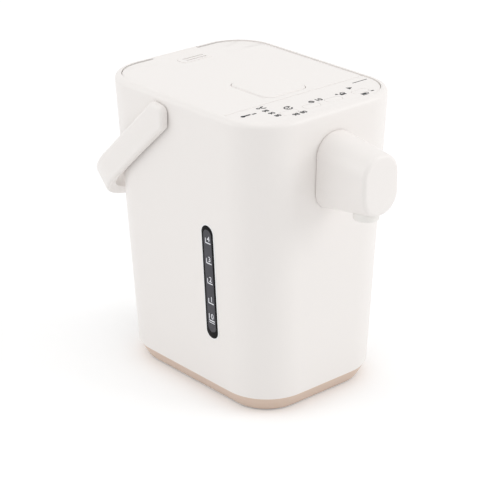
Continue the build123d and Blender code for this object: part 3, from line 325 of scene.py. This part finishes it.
wrap_gloss = math_node(wrap, "MULTIPLY_ADD", fleck_distance, 0.25, wrap_in["Roughness"])
wrap_colour = mixed(wrap, wrap_seams, wrap_in["Colour"], wrap_in["Seam Colour"])
put_out(wrap, wrap_colour, wrap_gloss, wrap_bands.outputs["Fac"])

mica_values = {"Colour": (0.43, 0.34, 0.20, 1.0), "Seam Colour": (0.16, 0.12, 0.08, 1.0), "Roughness": 0.45}
mica = surface("wrapped mica", wrap, mica_values, bump=0.4)
finished("band_heater", mica, "housing")
finished("sensor_bracket", pressed_steel, "housing")
phenolic = grained("black phenolic", (0.030, 0.029, 0.031), roughness=0.38, tone_drift=0.25,
                   grain_scale=1800.0)
finished("temperature_sensor", phenolic, "housing")
finished("thermal_cutout", phenolic, "housing")


# ---- Pump --------------------------------------------------------------------------------------
# A can motor in the base turns a magnet, and the magnet drags the wheel through the closed floor of
# the pump's glass-filled housing, so no shaft passes through to the water.
glass_filled = grained("glass-filled plastic", (0.50, 0.51, 0.50), roughness=0.5, tone_drift=0.12,
                       grain_scale=2600.0, bump=0.3)
finished("pump_housing", glass_filled, "housing")
finished("pump_cover", glass_filled, "housing")
finished("impeller", glass_filled, "pump_wheel")
motor_can = turned_metal("plated motor can", (0.46, 0.46, 0.47), middle("pump_motor"), roughness=0.30,
                         line_scale=1500.0)
finished("pump_motor", motor_can, "housing")
ferrite = grained("sintered ferrite", (0.060, 0.060, 0.064), roughness=0.55, tone_drift=0.3,
                  grain_scale=3200.0, bump=0.4)
finished("drive_magnet", ferrite, "motor_shaft")


# ---- Hoses and non-spill valve -----------------------------------------------------------------
# Silicone hoses run from the pump to the gauge tube and up to a small valve, whose steel ball
# closes the way to the spout when the pot lies on its side.
for hose_node in ("suction_hose", "outlet_hose", "riser_hose", "spout_pipe"):
    finished(hose_node, silicone, "housing")
finished("valve_body", glass_filled, "housing")
finished("valve_cap", glass_filled, "housing")
ball_steel = grained("polished ball steel", (0.66, 0.66, 0.67), roughness=0.10, tone_drift=0.05,
                     grain_scale=500.0, bump=0.02, Metallic=1.0)
finished("tip_over_ball", ball_steel, "tip_over_valve_ball")
clear_tube = grained("clear gauge tube", (0.93, 0.95, 0.95), roughness=0.06, tone_drift=0.01, bump=0.02,
                     Transmission_Weight=0.9, IOR=1.47)
finished("gauge_tube", clear_tube, "housing")
finished("gauge_holder", inner_plastic, "housing")


# ---- Water gauge window ------------------------------------------------------------------------
# A smoked lens with a printed black border is snapped into the side of the shell from inside. Pale
# strokes and plain numbers on it show the level of the water.
MM = 0.001
SHELL_TOP, SHELL_FOOT = 245.0, 14.0
TOP_WIDTH, FOOT_WIDTH = 154.2, 133.8
SIDE_LEAN = math.atan2(TOP_WIDTH - FOOT_WIDTH, 2 * (SHELL_TOP - SHELL_FOOT))
GAUGE_LENGTH, GAUGE_WIDTH = 96.6, 13.1
LENS_DEPTH, LENS_PROUD, LENS_ROUND = 2.8, 0.9, 0.35
BORDER, CLEAR_SHARE, CLEAR_RAISE = 1.3, 0.947, 1.0
RECESS, RECESS_SLOPE = 0.2, 0.25
LIP_OUTSIDE, LIP_WIDTH, LIP_HEIGHT, LIP_ROUND = 1.3, 1.25, 0.45, 0.2

window_centre = middle("gauge_window")
lens_out = Vector((-math.cos(SIDE_LEAN), 0.0, -math.sin(SIDE_LEAN)))
lens_up = Vector((-math.sin(SIDE_LEAN), 0.0, math.cos(SIDE_LEAN)))
window_face = max((vertex.co - window_centre).dot(lens_out)
                  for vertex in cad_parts["gauge_window"].data.vertices)
# The gauge is drawn in a plane of its own: X to the right as one looks at it, Y up the side, Z outwards.
lens_place = Matrix((lens_up.cross(lens_out), lens_up, lens_out)).transposed().to_4x4()
lens_place.translation = window_centre + lens_out * (window_face - LENS_PROUD * MM)


def new_piece(name, mesh, material, body, place=None):
    """Object for a finished bmesh, put where its mesh lies and made to ride on a body."""
    bmesh.ops.recalc_face_normals(mesh, faces=mesh.faces)
    if place is not None:
        bmesh.ops.transform(mesh, matrix=place, verts=mesh.verts)
    data = bpy.data.meshes.new(name)
    mesh.to_mesh(data)
    mesh.free()
    data.shade_smooth()
    data.set_sharp_from_angle(angle=SMOOTH_UNDER)
    data.materials.append(material)
    piece = bpy.data.objects.new(name, data)
    bpy.context.scene.collection.objects.link(piece)
    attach(piece, body)
    return piece


def stadium(mesh, length, width, low, high):
    """Plate with round ends, lengthwise along Y, or one flat face. Gives back its upper face."""
    made = bmesh.ops.create_circle(mesh, cap_ends=True, segments=64, radius=width / 2 * MM)
    for vertex in made["verts"]:
        if abs(vertex.co.y) > MERGE_DISTANCE:
            vertex.co.y += math.copysign((length - width) / 2 * MM, vertex.co.y)
        vertex.co.z = low * MM
    face = made["verts"][0].link_faces[0]
    if high <= low:
        return face
    raised = bmesh.ops.extrude_face_region(mesh, geom=[face])
    top = [part for part in raised["geom"] if isinstance(part, bmesh.types.BMFace)][0]
    bmesh.ops.translate(mesh, verts=top.verts, vec=(0.0, 0.0, (high - low) * MM))
    return top


def soften(mesh, edges, width, segments=3):
    """Round the edges of a solid."""
    bmesh.ops.bevel(mesh, geom=list(edges), offset=width * MM, offset_type="OFFSET", segments=segments,
                    profile=0.5, affect="EDGES", material=-1, clamp_overlap=True)


def plain_number(mesh, figures, height, x, y, low, thick, place, weight=0.01):
    """Printed figures in the built-in typeface, from low to low + thick over the plane of a place."""
    curve = bpy.data.curves.new("figures", "FONT")
    curve.body = figures
    curve.size = height * MM
    curve.align_x, curve.align_y = "CENTER", "CENTER"
    curve.extrude = thick / 2 * MM
    curve.offset = weight * height * MM
    curve.resolution_u = 3
    holder = bpy.data.objects.new("figures", curve)
    made = bpy.data.meshes.new_from_object(holder)
    made.transform(place @ Matrix.Translation((x * MM, y * MM, (low + thick / 2) * MM)))
    mesh.from_mesh(made)
    bpy.data.objects.remove(holder)
    bpy.data.curves.remove(curve)
    bpy.data.meshes.remove(made)


def bar(mesh, x, y, width, height, low, thick, place, turn=0.0):
    """Printed bar."""
    where = (place @ Matrix.Translation((x * MM, y * MM, (low + thick / 2) * MM))
             @ Matrix.Rotation(math.radians(turn), 4, "Z")
             @ Matrix.Diagonal((width * MM, height * MM, thick * MM, 1.0)))
    bmesh.ops.create_cube(mesh, size=1.0, matrix=where)


black_print = grained("printed black border", (0.004, 0.004, 0.005), roughness=0.24, tone_drift=0.2,
                      bump=0.02, Specular_IOR_Level=0.08)

# Smoked lens: cloudy grey, deeper in places.
smoke, smoke_in = pattern_group("smoked lens", [
    ("Colour", "NodeSocketColor", (0.08, 0.08, 0.1, 1.0)),
    ("Deep Colour", "NodeSocketColor", (0.03, 0.03, 0.04, 1.0)),
    ("Roughness", "NodeSocketFloat", 0.12)])
smoke_cloud = noise(smoke, own_place(smoke), 45.0, detail=2.0)
smoke_gloss = math_node(smoke, "MULTIPLY_ADD", smoke_cloud, 0.06, smoke_in["Roughness"])
smoke_colour = mixed(smoke, smoke_cloud, smoke_in["Colour"], smoke_in["Deep Colour"])
put_out(smoke, smoke_colour, smoke_gloss, smoke_cloud)
smoked_values = {"Colour": (0.058, 0.056, 0.070, 1.0), "Deep Colour": (0.034, 0.034, 0.042, 1.0)}
smoked = surface("smoked lens plastic", smoke, smoked_values, bump=0.02, Specular_IOR_Level=0.35)

lens = bmesh.new()
lens_top = stadium(lens, GAUGE_LENGTH, GAUGE_WIDTH, -LENS_DEPTH, LENS_PROUD)
soften(lens, lens_top.edges, LENS_ROUND)
lens_top = max(lens.faces, key=lambda face: (face.calc_center_median().z, face.calc_area()))
bmesh.ops.inset_region(lens, faces=[lens_top], thickness=BORDER * MM, depth=0.0, use_even_offset=True)
# The clear part ends higher than the border, which is wider at its foot.
for vertex in lens_top.verts:
    vertex.co.y = CLEAR_SHARE * vertex.co.y + CLEAR_RAISE * MM
bmesh.ops.inset_region(lens, faces=[lens_top], thickness=RECESS_SLOPE * MM, depth=-RECESS * MM,
                       use_even_offset=True)
lens_top.material_index = 1
lens_piece = new_piece("gauge_lens", lens, black_print, "housing", lens_place)
lens_piece.data.materials.append(smoked)
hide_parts("gauge_window")

lip = bmesh.new()
stadium(lip, GAUGE_LENGTH + 2 * LIP_OUTSIDE, GAUGE_WIDTH + 2 * LIP_OUTSIDE, 0.0, 0.0)
bmesh.ops.inset_region(lip, faces=lip.faces[:], thickness=LIP_WIDTH * MM, depth=0.0, use_even_offset=True,
                       use_boundary=True)
inner_face = max(lip.faces, key=lambda face: len(face.verts))
bmesh.ops.delete(lip, geom=[inner_face], context="FACES_ONLY")
raised_lip = bmesh.ops.extrude_face_region(lip, geom=lip.faces[:])
lip_verts = [part for part in raised_lip["geom"] if isinstance(part, bmesh.types.BMVert)]
bmesh.ops.translate(lip, verts=lip_verts, vec=(0.0, 0.0, LIP_HEIGHT * MM))
lip_rims = [edge for edge in lip.edges if all(vertex in lip_verts for vertex in edge.verts)
            and any(abs(face.normal.z) < 0.5 for face in edge.link_faces)]
soften(lip, lip_rims, LIP_ROUND, segments=2)
# The raised lip is real, but it is painted a brighter white than the shell: a painted highlight round the
# window.
lip_white_and_highlight = grained("white lip and painted highlight", (0.95, 0.95, 0.95), roughness=0.3, tone_drift=0.01)
new_piece("gauge_lip", lip, lip_white_and_highlight, "housing", lens_place)

pale_ink = grained("pale printing ink", (0.80, 0.81, 0.86), roughness=0.45, tone_drift=0.04,
                   grain_scale=3000.0)
TOP_LEVEL, LEVEL_PITCH, EMPTY_LEVEL = 140.2, 17.2, 73.6
LEVEL_INK = 0.04
levels = bmesh.new()


def level_bar(x, y, width, height):
    """Bar on the lens."""
    bar(levels, x, y, width, height, LENS_PROUD - RECESS, LEVEL_INK, lens_place)


def level_number(figures, height, x, y):
    """Number on the lens."""
    plain_number(levels, figures, height, x, y, LENS_PROUD - RECESS, LEVEL_INK, lens_place)


def up_the_lens(height):
    """Where a height over the floor comes in the gauge's own plane."""
    return (height - window_centre.z / MM) / math.cos(SIDE_LEAN)


for step, figure in enumerate("4321"):
    y_mark = up_the_lens(TOP_LEVEL - LEVEL_PITCH * step)
    level_bar(0.5, y_mark - 2.8, 6.2, 0.9)
    level_bar(-2.2, y_mark - 0.8, 0.8, 3.8)
    level_number(figure, 6.2, 1.3, y_mark + 0.6)
y_mark = up_the_lens(EMPTY_LEVEL)
level_bar(0.4, y_mark - 3.0, 6.6, 1.0)
level_bar(0.4, y_mark - 4.8, 6.6, 0.6)
level_number("0", 6.4, 1.2, y_mark + 0.6)
level_bar(-2.5, y_mark + 0.4, 0.8, 4.8)
new_piece("gauge_scale", levels, pale_ink, "housing")


# ---- Spout -------------------------------------------------------------------------------------
# A hollow moulded nose is screwed to the front of the shell from inside. The round nozzle hangs in
# its underside and ends the hot water's pipe.
finished("spout_cover", white_satin, "housing")
nozzle_white = grained("nozzle white plastic", (0.88, 0.86, 0.83), roughness=0.45)
finished("spout_nozzle", nozzle_white, "housing")
finished("spout_screws", zinc, "housing")


# ---- Control panel and keys --------------------------------------------------------------------
# The panel lies flush in front of the lid. Four keys stand in it over push switches on a small
# board, and the symbols for them are printed in grey beside them.
finished("control_panel", white_satin, "housing")
for key in ("reboil", "temperature", "unlock", "dispense"):
    finished("key_" + key, white_satin, key + "_key")

dark_ink = grained("dark printing ink", (0.030, 0.030, 0.032), roughness=0.5, tone_drift=0.1,
                   grain_scale=3000.0, Specular_IOR_Level=0.2)
PANEL_INK, PANEL_WEIGHT = 0.03, 0.045
body_middle = middle("rubber_feet")
panel_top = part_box("control_panel")[1].z / MM
panel_place = Matrix.Translation((0.0, body_middle.y, 0.0))
symbols = bmesh.new()


def dot(mesh, x, y, radius, low, thick, place, corners=24, turn=0.0):
    """Printed dot, or with three corners a triangle."""
    where = (place @ Matrix.Translation((x * MM, y * MM, (low + thick / 2) * MM))
             @ Matrix.Rotation(math.radians(turn), 4, "Z"))
    bmesh.ops.create_cone(mesh, cap_ends=True, segments=corners, radius1=radius * MM, radius2=radius * MM,
                          depth=thick * MM, matrix=where)


def arc(mesh, x, y, radius, line, start, sweep, low, thick, place):
    """Printed ring or part of one, spun from its cross-section."""
    flat = bmesh.new()
    section = bmesh.ops.create_grid(flat, x_segments=1, y_segments=1, size=0.5,
                                    matrix=Matrix.Translation((radius * MM, 0.0, thick / 2 * MM))
                                    @ Matrix.Rotation(math.radians(90), 4, "X")
                                    @ Matrix.Diagonal((line * MM, thick * MM, 1.0, 1.0)))
    bmesh.ops.rotate(flat, verts=section["verts"], cent=(0, 0, 0),
                     matrix=Matrix.Rotation(math.radians(start), 3, "Z"))
    closed = abs(sweep) >= 360
    bmesh.ops.spin(flat, geom=flat.verts[:] + flat.edges[:] + flat.faces[:], cent=(0, 0, 0), axis=(0, 0, 1),
                   angle=math.radians(sweep), steps=max(6, int(abs(sweep) / 12)), use_merge=closed,
                   use_duplicate=False)
    bmesh.ops.remove_doubles(flat, verts=flat.verts, dist=MERGE_DISTANCE)
    bmesh.ops.recalc_face_normals(flat, faces=flat.faces)
    where = place @ Matrix.Translation((x * MM, y * MM, low * MM))
    bmesh.ops.transform(flat, matrix=where, verts=flat.verts)
    part = bpy.data.meshes.new("arc")
    flat.to_mesh(part)
    flat.free()
    mesh.from_mesh(part)
    bpy.data.meshes.remove(part)


def panel_bar(x, y, width, height, turn=0.0):
    """Bar on the panel."""
    bar(symbols, x, y, width, height, panel_top, PANEL_INK, panel_place, turn)


def panel_dot(x, y, radius, corners=24, turn=0.0):
    """Dot or triangle on the panel."""
    dot(symbols, x, y, radius, panel_top, PANEL_INK, panel_place, corners, turn)


def panel_arc(x, y, radius, line, start, sweep):
    """Ring or part of one on the panel."""
    arc(symbols, x, y, radius, line, start, sweep, panel_top, PANEL_INK, panel_place)


def panel_number(figures, height, x, y):
    """Number on the panel, in a bolder face."""
    plain_number(symbols, figures, height, x, y, panel_top, PANEL_INK, panel_place, PANEL_WEIGHT)


# Temperature: a thermometer on its side, a bar, the unit, and figures that lamps light from below.
BULB_X, THERMOMETER_Y = -61.9, -63.3
panel_dot(BULB_X, THERMOMETER_Y, 1.75)
panel_bar(BULB_X + 3.5, THERMOMETER_Y, 7.6, 2.1)
panel_bar(-51.6, -64.1, 3.8, 1.7)
panel_arc(-41.6, -57.2, 1.1, 1.0, 0, 360)
panel_arc(-37.1, -57.8, 1.9, 1.4, 50, 260)
for figure_y, figure in zip((-65.0, -71.8, -78.5), ("98", "90", "80")):
    panel_number(figure, 5.2, -40.9, figure_y)
# Reboil: a ring with an arrow head round two strokes of steam, and the two figures under it.
RING_X, RING_Y = -24.0, -71.0
panel_arc(RING_X, RING_Y, 3.0, 1.2, 60, 290)
panel_dot(RING_X + 2.2, RING_Y + 2.2, 1.8, corners=3, turn=20)
for steam_x in (RING_X - 1.1, RING_X + 0.6):
    panel_bar(steam_x, RING_Y - 0.1, 0.8, 2.6, turn=-12)
for figure_x, figure in zip((-29.2, -21.8), ("98", "80")):
    panel_number(figure, 5.6, figure_x, -85.6)
# Timer: a clock with its two hands, and its hours.
CLOCK_X, CLOCK_Y = -1.7, -72.3
panel_arc(CLOCK_X, CLOCK_Y, 1.8, 1.2, 0, 360)
panel_bar(CLOCK_X, CLOCK_Y + 0.6, 0.8, 1.5)
panel_bar(CLOCK_X + 0.5, CLOCK_Y, 1.5, 0.8)
panel_number("10", 6.4, 5.6, -72.6)
# Unlock: a padlock with its bow raised, and a small triangle.
PADLOCK_X, PADLOCK_Y = 28.6, -75.0
panel_bar(PADLOCK_X, PADLOCK_Y, 5.6, 2.8)
panel_arc(PADLOCK_X + 1.2, PADLOCK_Y + 1.6, 2.0, 0.9, 0, 180)
panel_dot(24.2, -72.4, 1.9, corners=3, turn=90)
# Pour: a triangle, a long rule, a cup with its ear on a saucer, and a short bar.
CUP_X, CUP_Y = 40.9, -85.2
panel_dot(41.8, -67.9, 3.0, corners=3, turn=30)
panel_bar(59.8, -61.0, 15.2, 1.0)
panel_bar(CUP_X, CUP_Y, 5.0, 3.2)
panel_arc(CUP_X + 3.0, CUP_Y + 0.2, 1.3, 0.8, -90, 180)
panel_bar(CUP_X, CUP_Y - 2.3, 6.2, 0.6)
panel_bar(51.0, -83.9, 3.2, 1.5)
new_piece("panel_symbols", symbols, dark_ink, "housing")

# Board print: green mask over a net of tracks, with pads of bare metal.
mask, mask_in = pattern_group("board print", [
    ("Colour", "NodeSocketColor", (0.03, 0.14, 0.05, 1.0)),
    ("Track Colour", "NodeSocketColor", (0.06, 0.24, 0.09, 1.0)),
    ("Pad Colour", "NodeSocketColor", (0.6, 0.58, 0.5, 1.0)),
    ("Roughness", "NodeSocketFloat", 0.35),
    ("Scale", "NodeSocketFloat", 260.0)])
mask_place = own_place(mask)
tracks = add_node(mask, "ShaderNodeTexBrick")
tracks.inputs["Mortar Size"].default_value = 0.06
tracks.inputs["Mortar Smooth"].default_value = 0.0
tracks.inputs["Brick Width"].default_value = 1.7
tracks.inputs["Row Height"].default_value = 0.4
mask.links.new(mask_place, tracks.inputs["Vector"])
mask.links.new(mask_in["Scale"], tracks.inputs["Scale"])
mask.links.new(mask_in["Colour"], tracks.inputs["Color1"])
mask.links.new(mask_in["Colour"], tracks.inputs["Color2"])
mask.links.new(mask_in["Track Colour"], tracks.inputs["Mortar"])
pads = add_node(mask, "ShaderNodeTexVoronoi")
mask.links.new(mask_place, pads.inputs["Vector"])
mask.links.new(mask_in["Scale"], pads.inputs["Scale"])
pad_mask = math_node(mask, "LESS_THAN", pads.outputs["Distance"], 0.18)
mask_gloss = math_node(mask, "MULTIPLY_ADD", pad_mask, -0.1, mask_in["Roughness"])
mask_colour = mixed(mask, pad_mask, tracks.outputs["Color"], mask_in["Pad Colour"])
put_out(mask, mask_colour, mask_gloss, tracks.outputs["Fac"])
board_green = surface("green circuit board", mask, {"Scale": 260.0}, bump=0.2)
finished("panel_board", board_green, "housing")
component_black = grained("moulded component", (0.050, 0.050, 0.054), roughness=0.42, tone_drift=0.3)
finished("panel_components", component_black, "housing")


# ---- Lid ---------------------------------------------------------------------------------------
# The lid is a satin white cap screwed to a moulded underbody. A spun stainless disc and a silicone
# lip close the vessel, and steam leaves by a ball valve and the slotted plate at the back.
finished("lid_cover", white_satin, "lid")
finished("vent_cover", white_satin, "lid")
finished("lid_base", deck_plastic, "lid")
spun_disc = turned_metal("spun stainless disc", (0.62, 0.61, 0.59), vessel_centre, roughness=0.24,
                         line_scale=2800.0)
finished("inner_lid", spun_disc, "lid")
finished("lid_gasket", silicone, "lid")
finished("lid_screws", zinc, "lid")
finished("steam_ball", ball_steel, "steam_valve_ball")


# ---- Lid button and latch ----------------------------------------------------------------------
# The wide button turns on a steel pin at its back edge, against a coil spring. A wedge on it draws
# the latch in, which lets the lid go.
finished("lid_button", white_satin, "open_button")
finished("button_pin", zinc, "lid")
spring = finished("button_spring", ball_steel, "lid")
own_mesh(spring)
finished("latch_bolt", inner_plastic, "latch")
finished("hinge_pin", ball_steel, "housing")


# ---- Carrying handle ---------------------------------------------------------------------------
# A stiff bail swings on bosses that run in bushes in the side walls, each held by a screw from
# inside. Ribs across a shallow recess stiffen its grip.
finished("handle", white_satin, "carry_handle")
finished("handle_bushes", inner_plastic, "housing")
finished("pivot_screws", zinc, "carry_handle")


# ---- Power board and inlet ---------------------------------------------------------------------
# The power board stands on posts in the base, beside the pump. The inlet is a black moulding behind
# a cut-out low in the back, with two plated pins.
finished("main_board", board_green, "housing")
finished("board_parts", component_black, "housing")
inlet_black = grained("inlet black plastic", (0.022, 0.022, 0.024), roughness=0.42, tone_drift=0.25)
finished("power_inlet", inlet_black, "housing")
plated = grained("nickel plated brass", (0.66, 0.60, 0.46), roughness=0.18, tone_drift=0.08,
                 grain_scale=900.0, bump=0.05, Metallic=1.0)
finished("inlet_pins", plated, "housing")


# ---- Stage -------------------------------------------------------------------------------------
# Plain white floor and surroundings under three softboxes. To the eye, the floor glows a little, and
# more so far away, so that it reads as white paper and still takes the shadow of the pot.
FLOOR_RADIUS = 4.0
GLOW_NEAR, GLOW_FAR = 0.16, 0.34
NEAR, FAR = 0.5, 2.5


def seen_rays(tree):
    """One for rays that show white paper: the camera's own, and those off metal or through glass."""
    rays = add_node(tree, "ShaderNodeLightPath")
    direct = math_node(tree, "MAXIMUM", rays.outputs["Is Camera Ray"], rays.outputs["Is Transmission Ray"])
    return math_node(tree, "MAXIMUM", direct, rays.outputs["Is Glossy Ray"])


floor_mesh = bpy.data.meshes.new("floor")
floor_shape = bmesh.new()
bmesh.ops.create_circle(floor_shape, cap_ends=True, segments=96, radius=FLOOR_RADIUS)
floor_shape.to_mesh(floor_mesh)
floor_shape.free()
floor = bpy.data.objects.new("floor", floor_mesh)
bpy.context.scene.collection.objects.link(floor)
floor_white = bpy.data.materials.new("white floor")
floor_white.use_nodes = True
floor_tree = floor_white.node_tree
floor_shader = floor_tree.nodes["Principled BSDF"]
floor_shader.inputs["Base Color"].default_value = (0.93, 0.93, 0.93, 1.0)
floor_shader.inputs["Roughness"].default_value = 0.9
floor_shader.inputs["Specular IOR Level"].default_value = 0.0
floor_reach = add_node(floor_tree, "ShaderNodeVectorMath", operation="LENGTH")
floor_tree.links.new(own_place(floor_tree), floor_reach.inputs[0])
floor_far = add_node(floor_tree, "ShaderNodeMapRange")
floor_far.inputs["From Min"].default_value = NEAR
floor_far.inputs["From Max"].default_value = FAR
floor_far.inputs["To Min"].default_value = GLOW_NEAR
floor_far.inputs["To Max"].default_value = GLOW_FAR
floor_tree.links.new(floor_reach.outputs["Value"], floor_far.inputs["Value"])
floor_strength = math_node(floor_tree, "MULTIPLY", seen_rays(floor_tree), floor_far.outputs["Result"])
floor_glow = add_node(floor_tree, "ShaderNodeEmission")
floor_tree.links.new(floor_strength, floor_glow.inputs["Strength"])
floor_sum = add_node(floor_tree, "ShaderNodeAddShader")
floor_tree.links.new(floor_shader.outputs[0], floor_sum.inputs[0])
floor_tree.links.new(floor_glow.outputs[0], floor_sum.inputs[1])
floor_tree.links.new(floor_sum.outputs[0], floor_tree.nodes["Material Output"].inputs["Surface"])
floor_mesh.materials.append(floor_white)

STUDIO_LIGHT = 0.733
PAPER_WHITE = 1.0
world = bpy.data.worlds.new("studio")
bpy.context.scene.world = world
world.use_nodes = True
sky = world.node_tree
background = sky.nodes["Background"]
background.inputs["Color"].default_value = (1.0, 1.0, 1.0, 1.0)
background.inputs["Strength"].default_value = STUDIO_LIGHT
paper = add_node(sky, "ShaderNodeBackground")
paper.inputs["Color"].default_value = (1.0, 1.0, 1.0, 1.0)
paper.inputs["Strength"].default_value = PAPER_WHITE
choose = add_node(sky, "ShaderNodeMixShader")
sky.links.new(seen_rays(sky), choose.inputs["Fac"])
sky.links.new(background.outputs[0], choose.inputs[1])
sky.links.new(paper.outputs[0], choose.inputs[2])
sky.links.new(choose.outputs[0], sky.nodes["World Output"].inputs["Surface"])

LAMP_SIZE = 1.4
LAMP_AIM = Vector((0.0, body_middle.y, 0.12))


def away_from_pot(azimuth, elevation):
    """Direction by its angle round from the front, to the right, and its angle up, both in degrees."""
    turn, rise = math.radians(azimuth), math.radians(elevation)
    return Vector((math.sin(turn) * math.cos(rise), -math.cos(turn) * math.cos(rise), math.sin(rise)))


def softbox(name, azimuth, elevation, distance, power):
    """Square lamp that looks at the middle of the body."""
    lamp = bpy.data.lights.new(name, "AREA")
    lamp.shape = "SQUARE"
    lamp.size = LAMP_SIZE
    lamp.energy = power
    holder = bpy.data.objects.new(name, lamp)
    bpy.context.scene.collection.objects.link(holder)
    away = away_from_pot(azimuth, elevation)
    holder.location = LAMP_AIM + away * distance
    holder.rotation_euler = away.to_track_quat("Z", "Y").to_euler()


softbox("left softbox", azimuth=-123.0, elevation=25.0, distance=2.2, power=7.0)
softbox("right softbox", azimuth=39.0, elevation=25.0, distance=2.2, power=10.5)
softbox("overhead softbox", azimuth=0.0, elevation=89.0, distance=2.4, power=7.7)


# ---- Camera ------------------------------------------------------------------------------------
# A long lens looks down on the pot from the left of its front, with the water gauge and the spout in
# view.
AZIMUTH, ELEVATION, ROLL = -41.0, 23.5, -0.38
FIELD_OF_VIEW, CAMERA_DISTANCE = 15.8, 1.459
CAMERA_AIM = Vector((-0.0005, 0.0003 + body_middle.y, 0.0995))
camera_data = bpy.data.cameras.new("camera")
camera_data.sensor_fit = "HORIZONTAL"
camera_data.angle = math.radians(FIELD_OF_VIEW)
camera_data.clip_end = 20.0
camera = bpy.data.objects.new("camera", camera_data)
bpy.context.scene.collection.objects.link(camera)
towards_camera = away_from_pot(AZIMUTH, ELEVATION)
level_camera = towards_camera.to_track_quat("Z", "Y").to_matrix()
camera.location = CAMERA_AIM + towards_camera * CAMERA_DISTANCE
camera.rotation_euler = (level_camera @ Matrix.Rotation(math.radians(ROLL), 3, "Z")).to_euler()
bpy.context.scene.camera = camera

bpy.context.scene.view_settings.view_transform = "Standard"
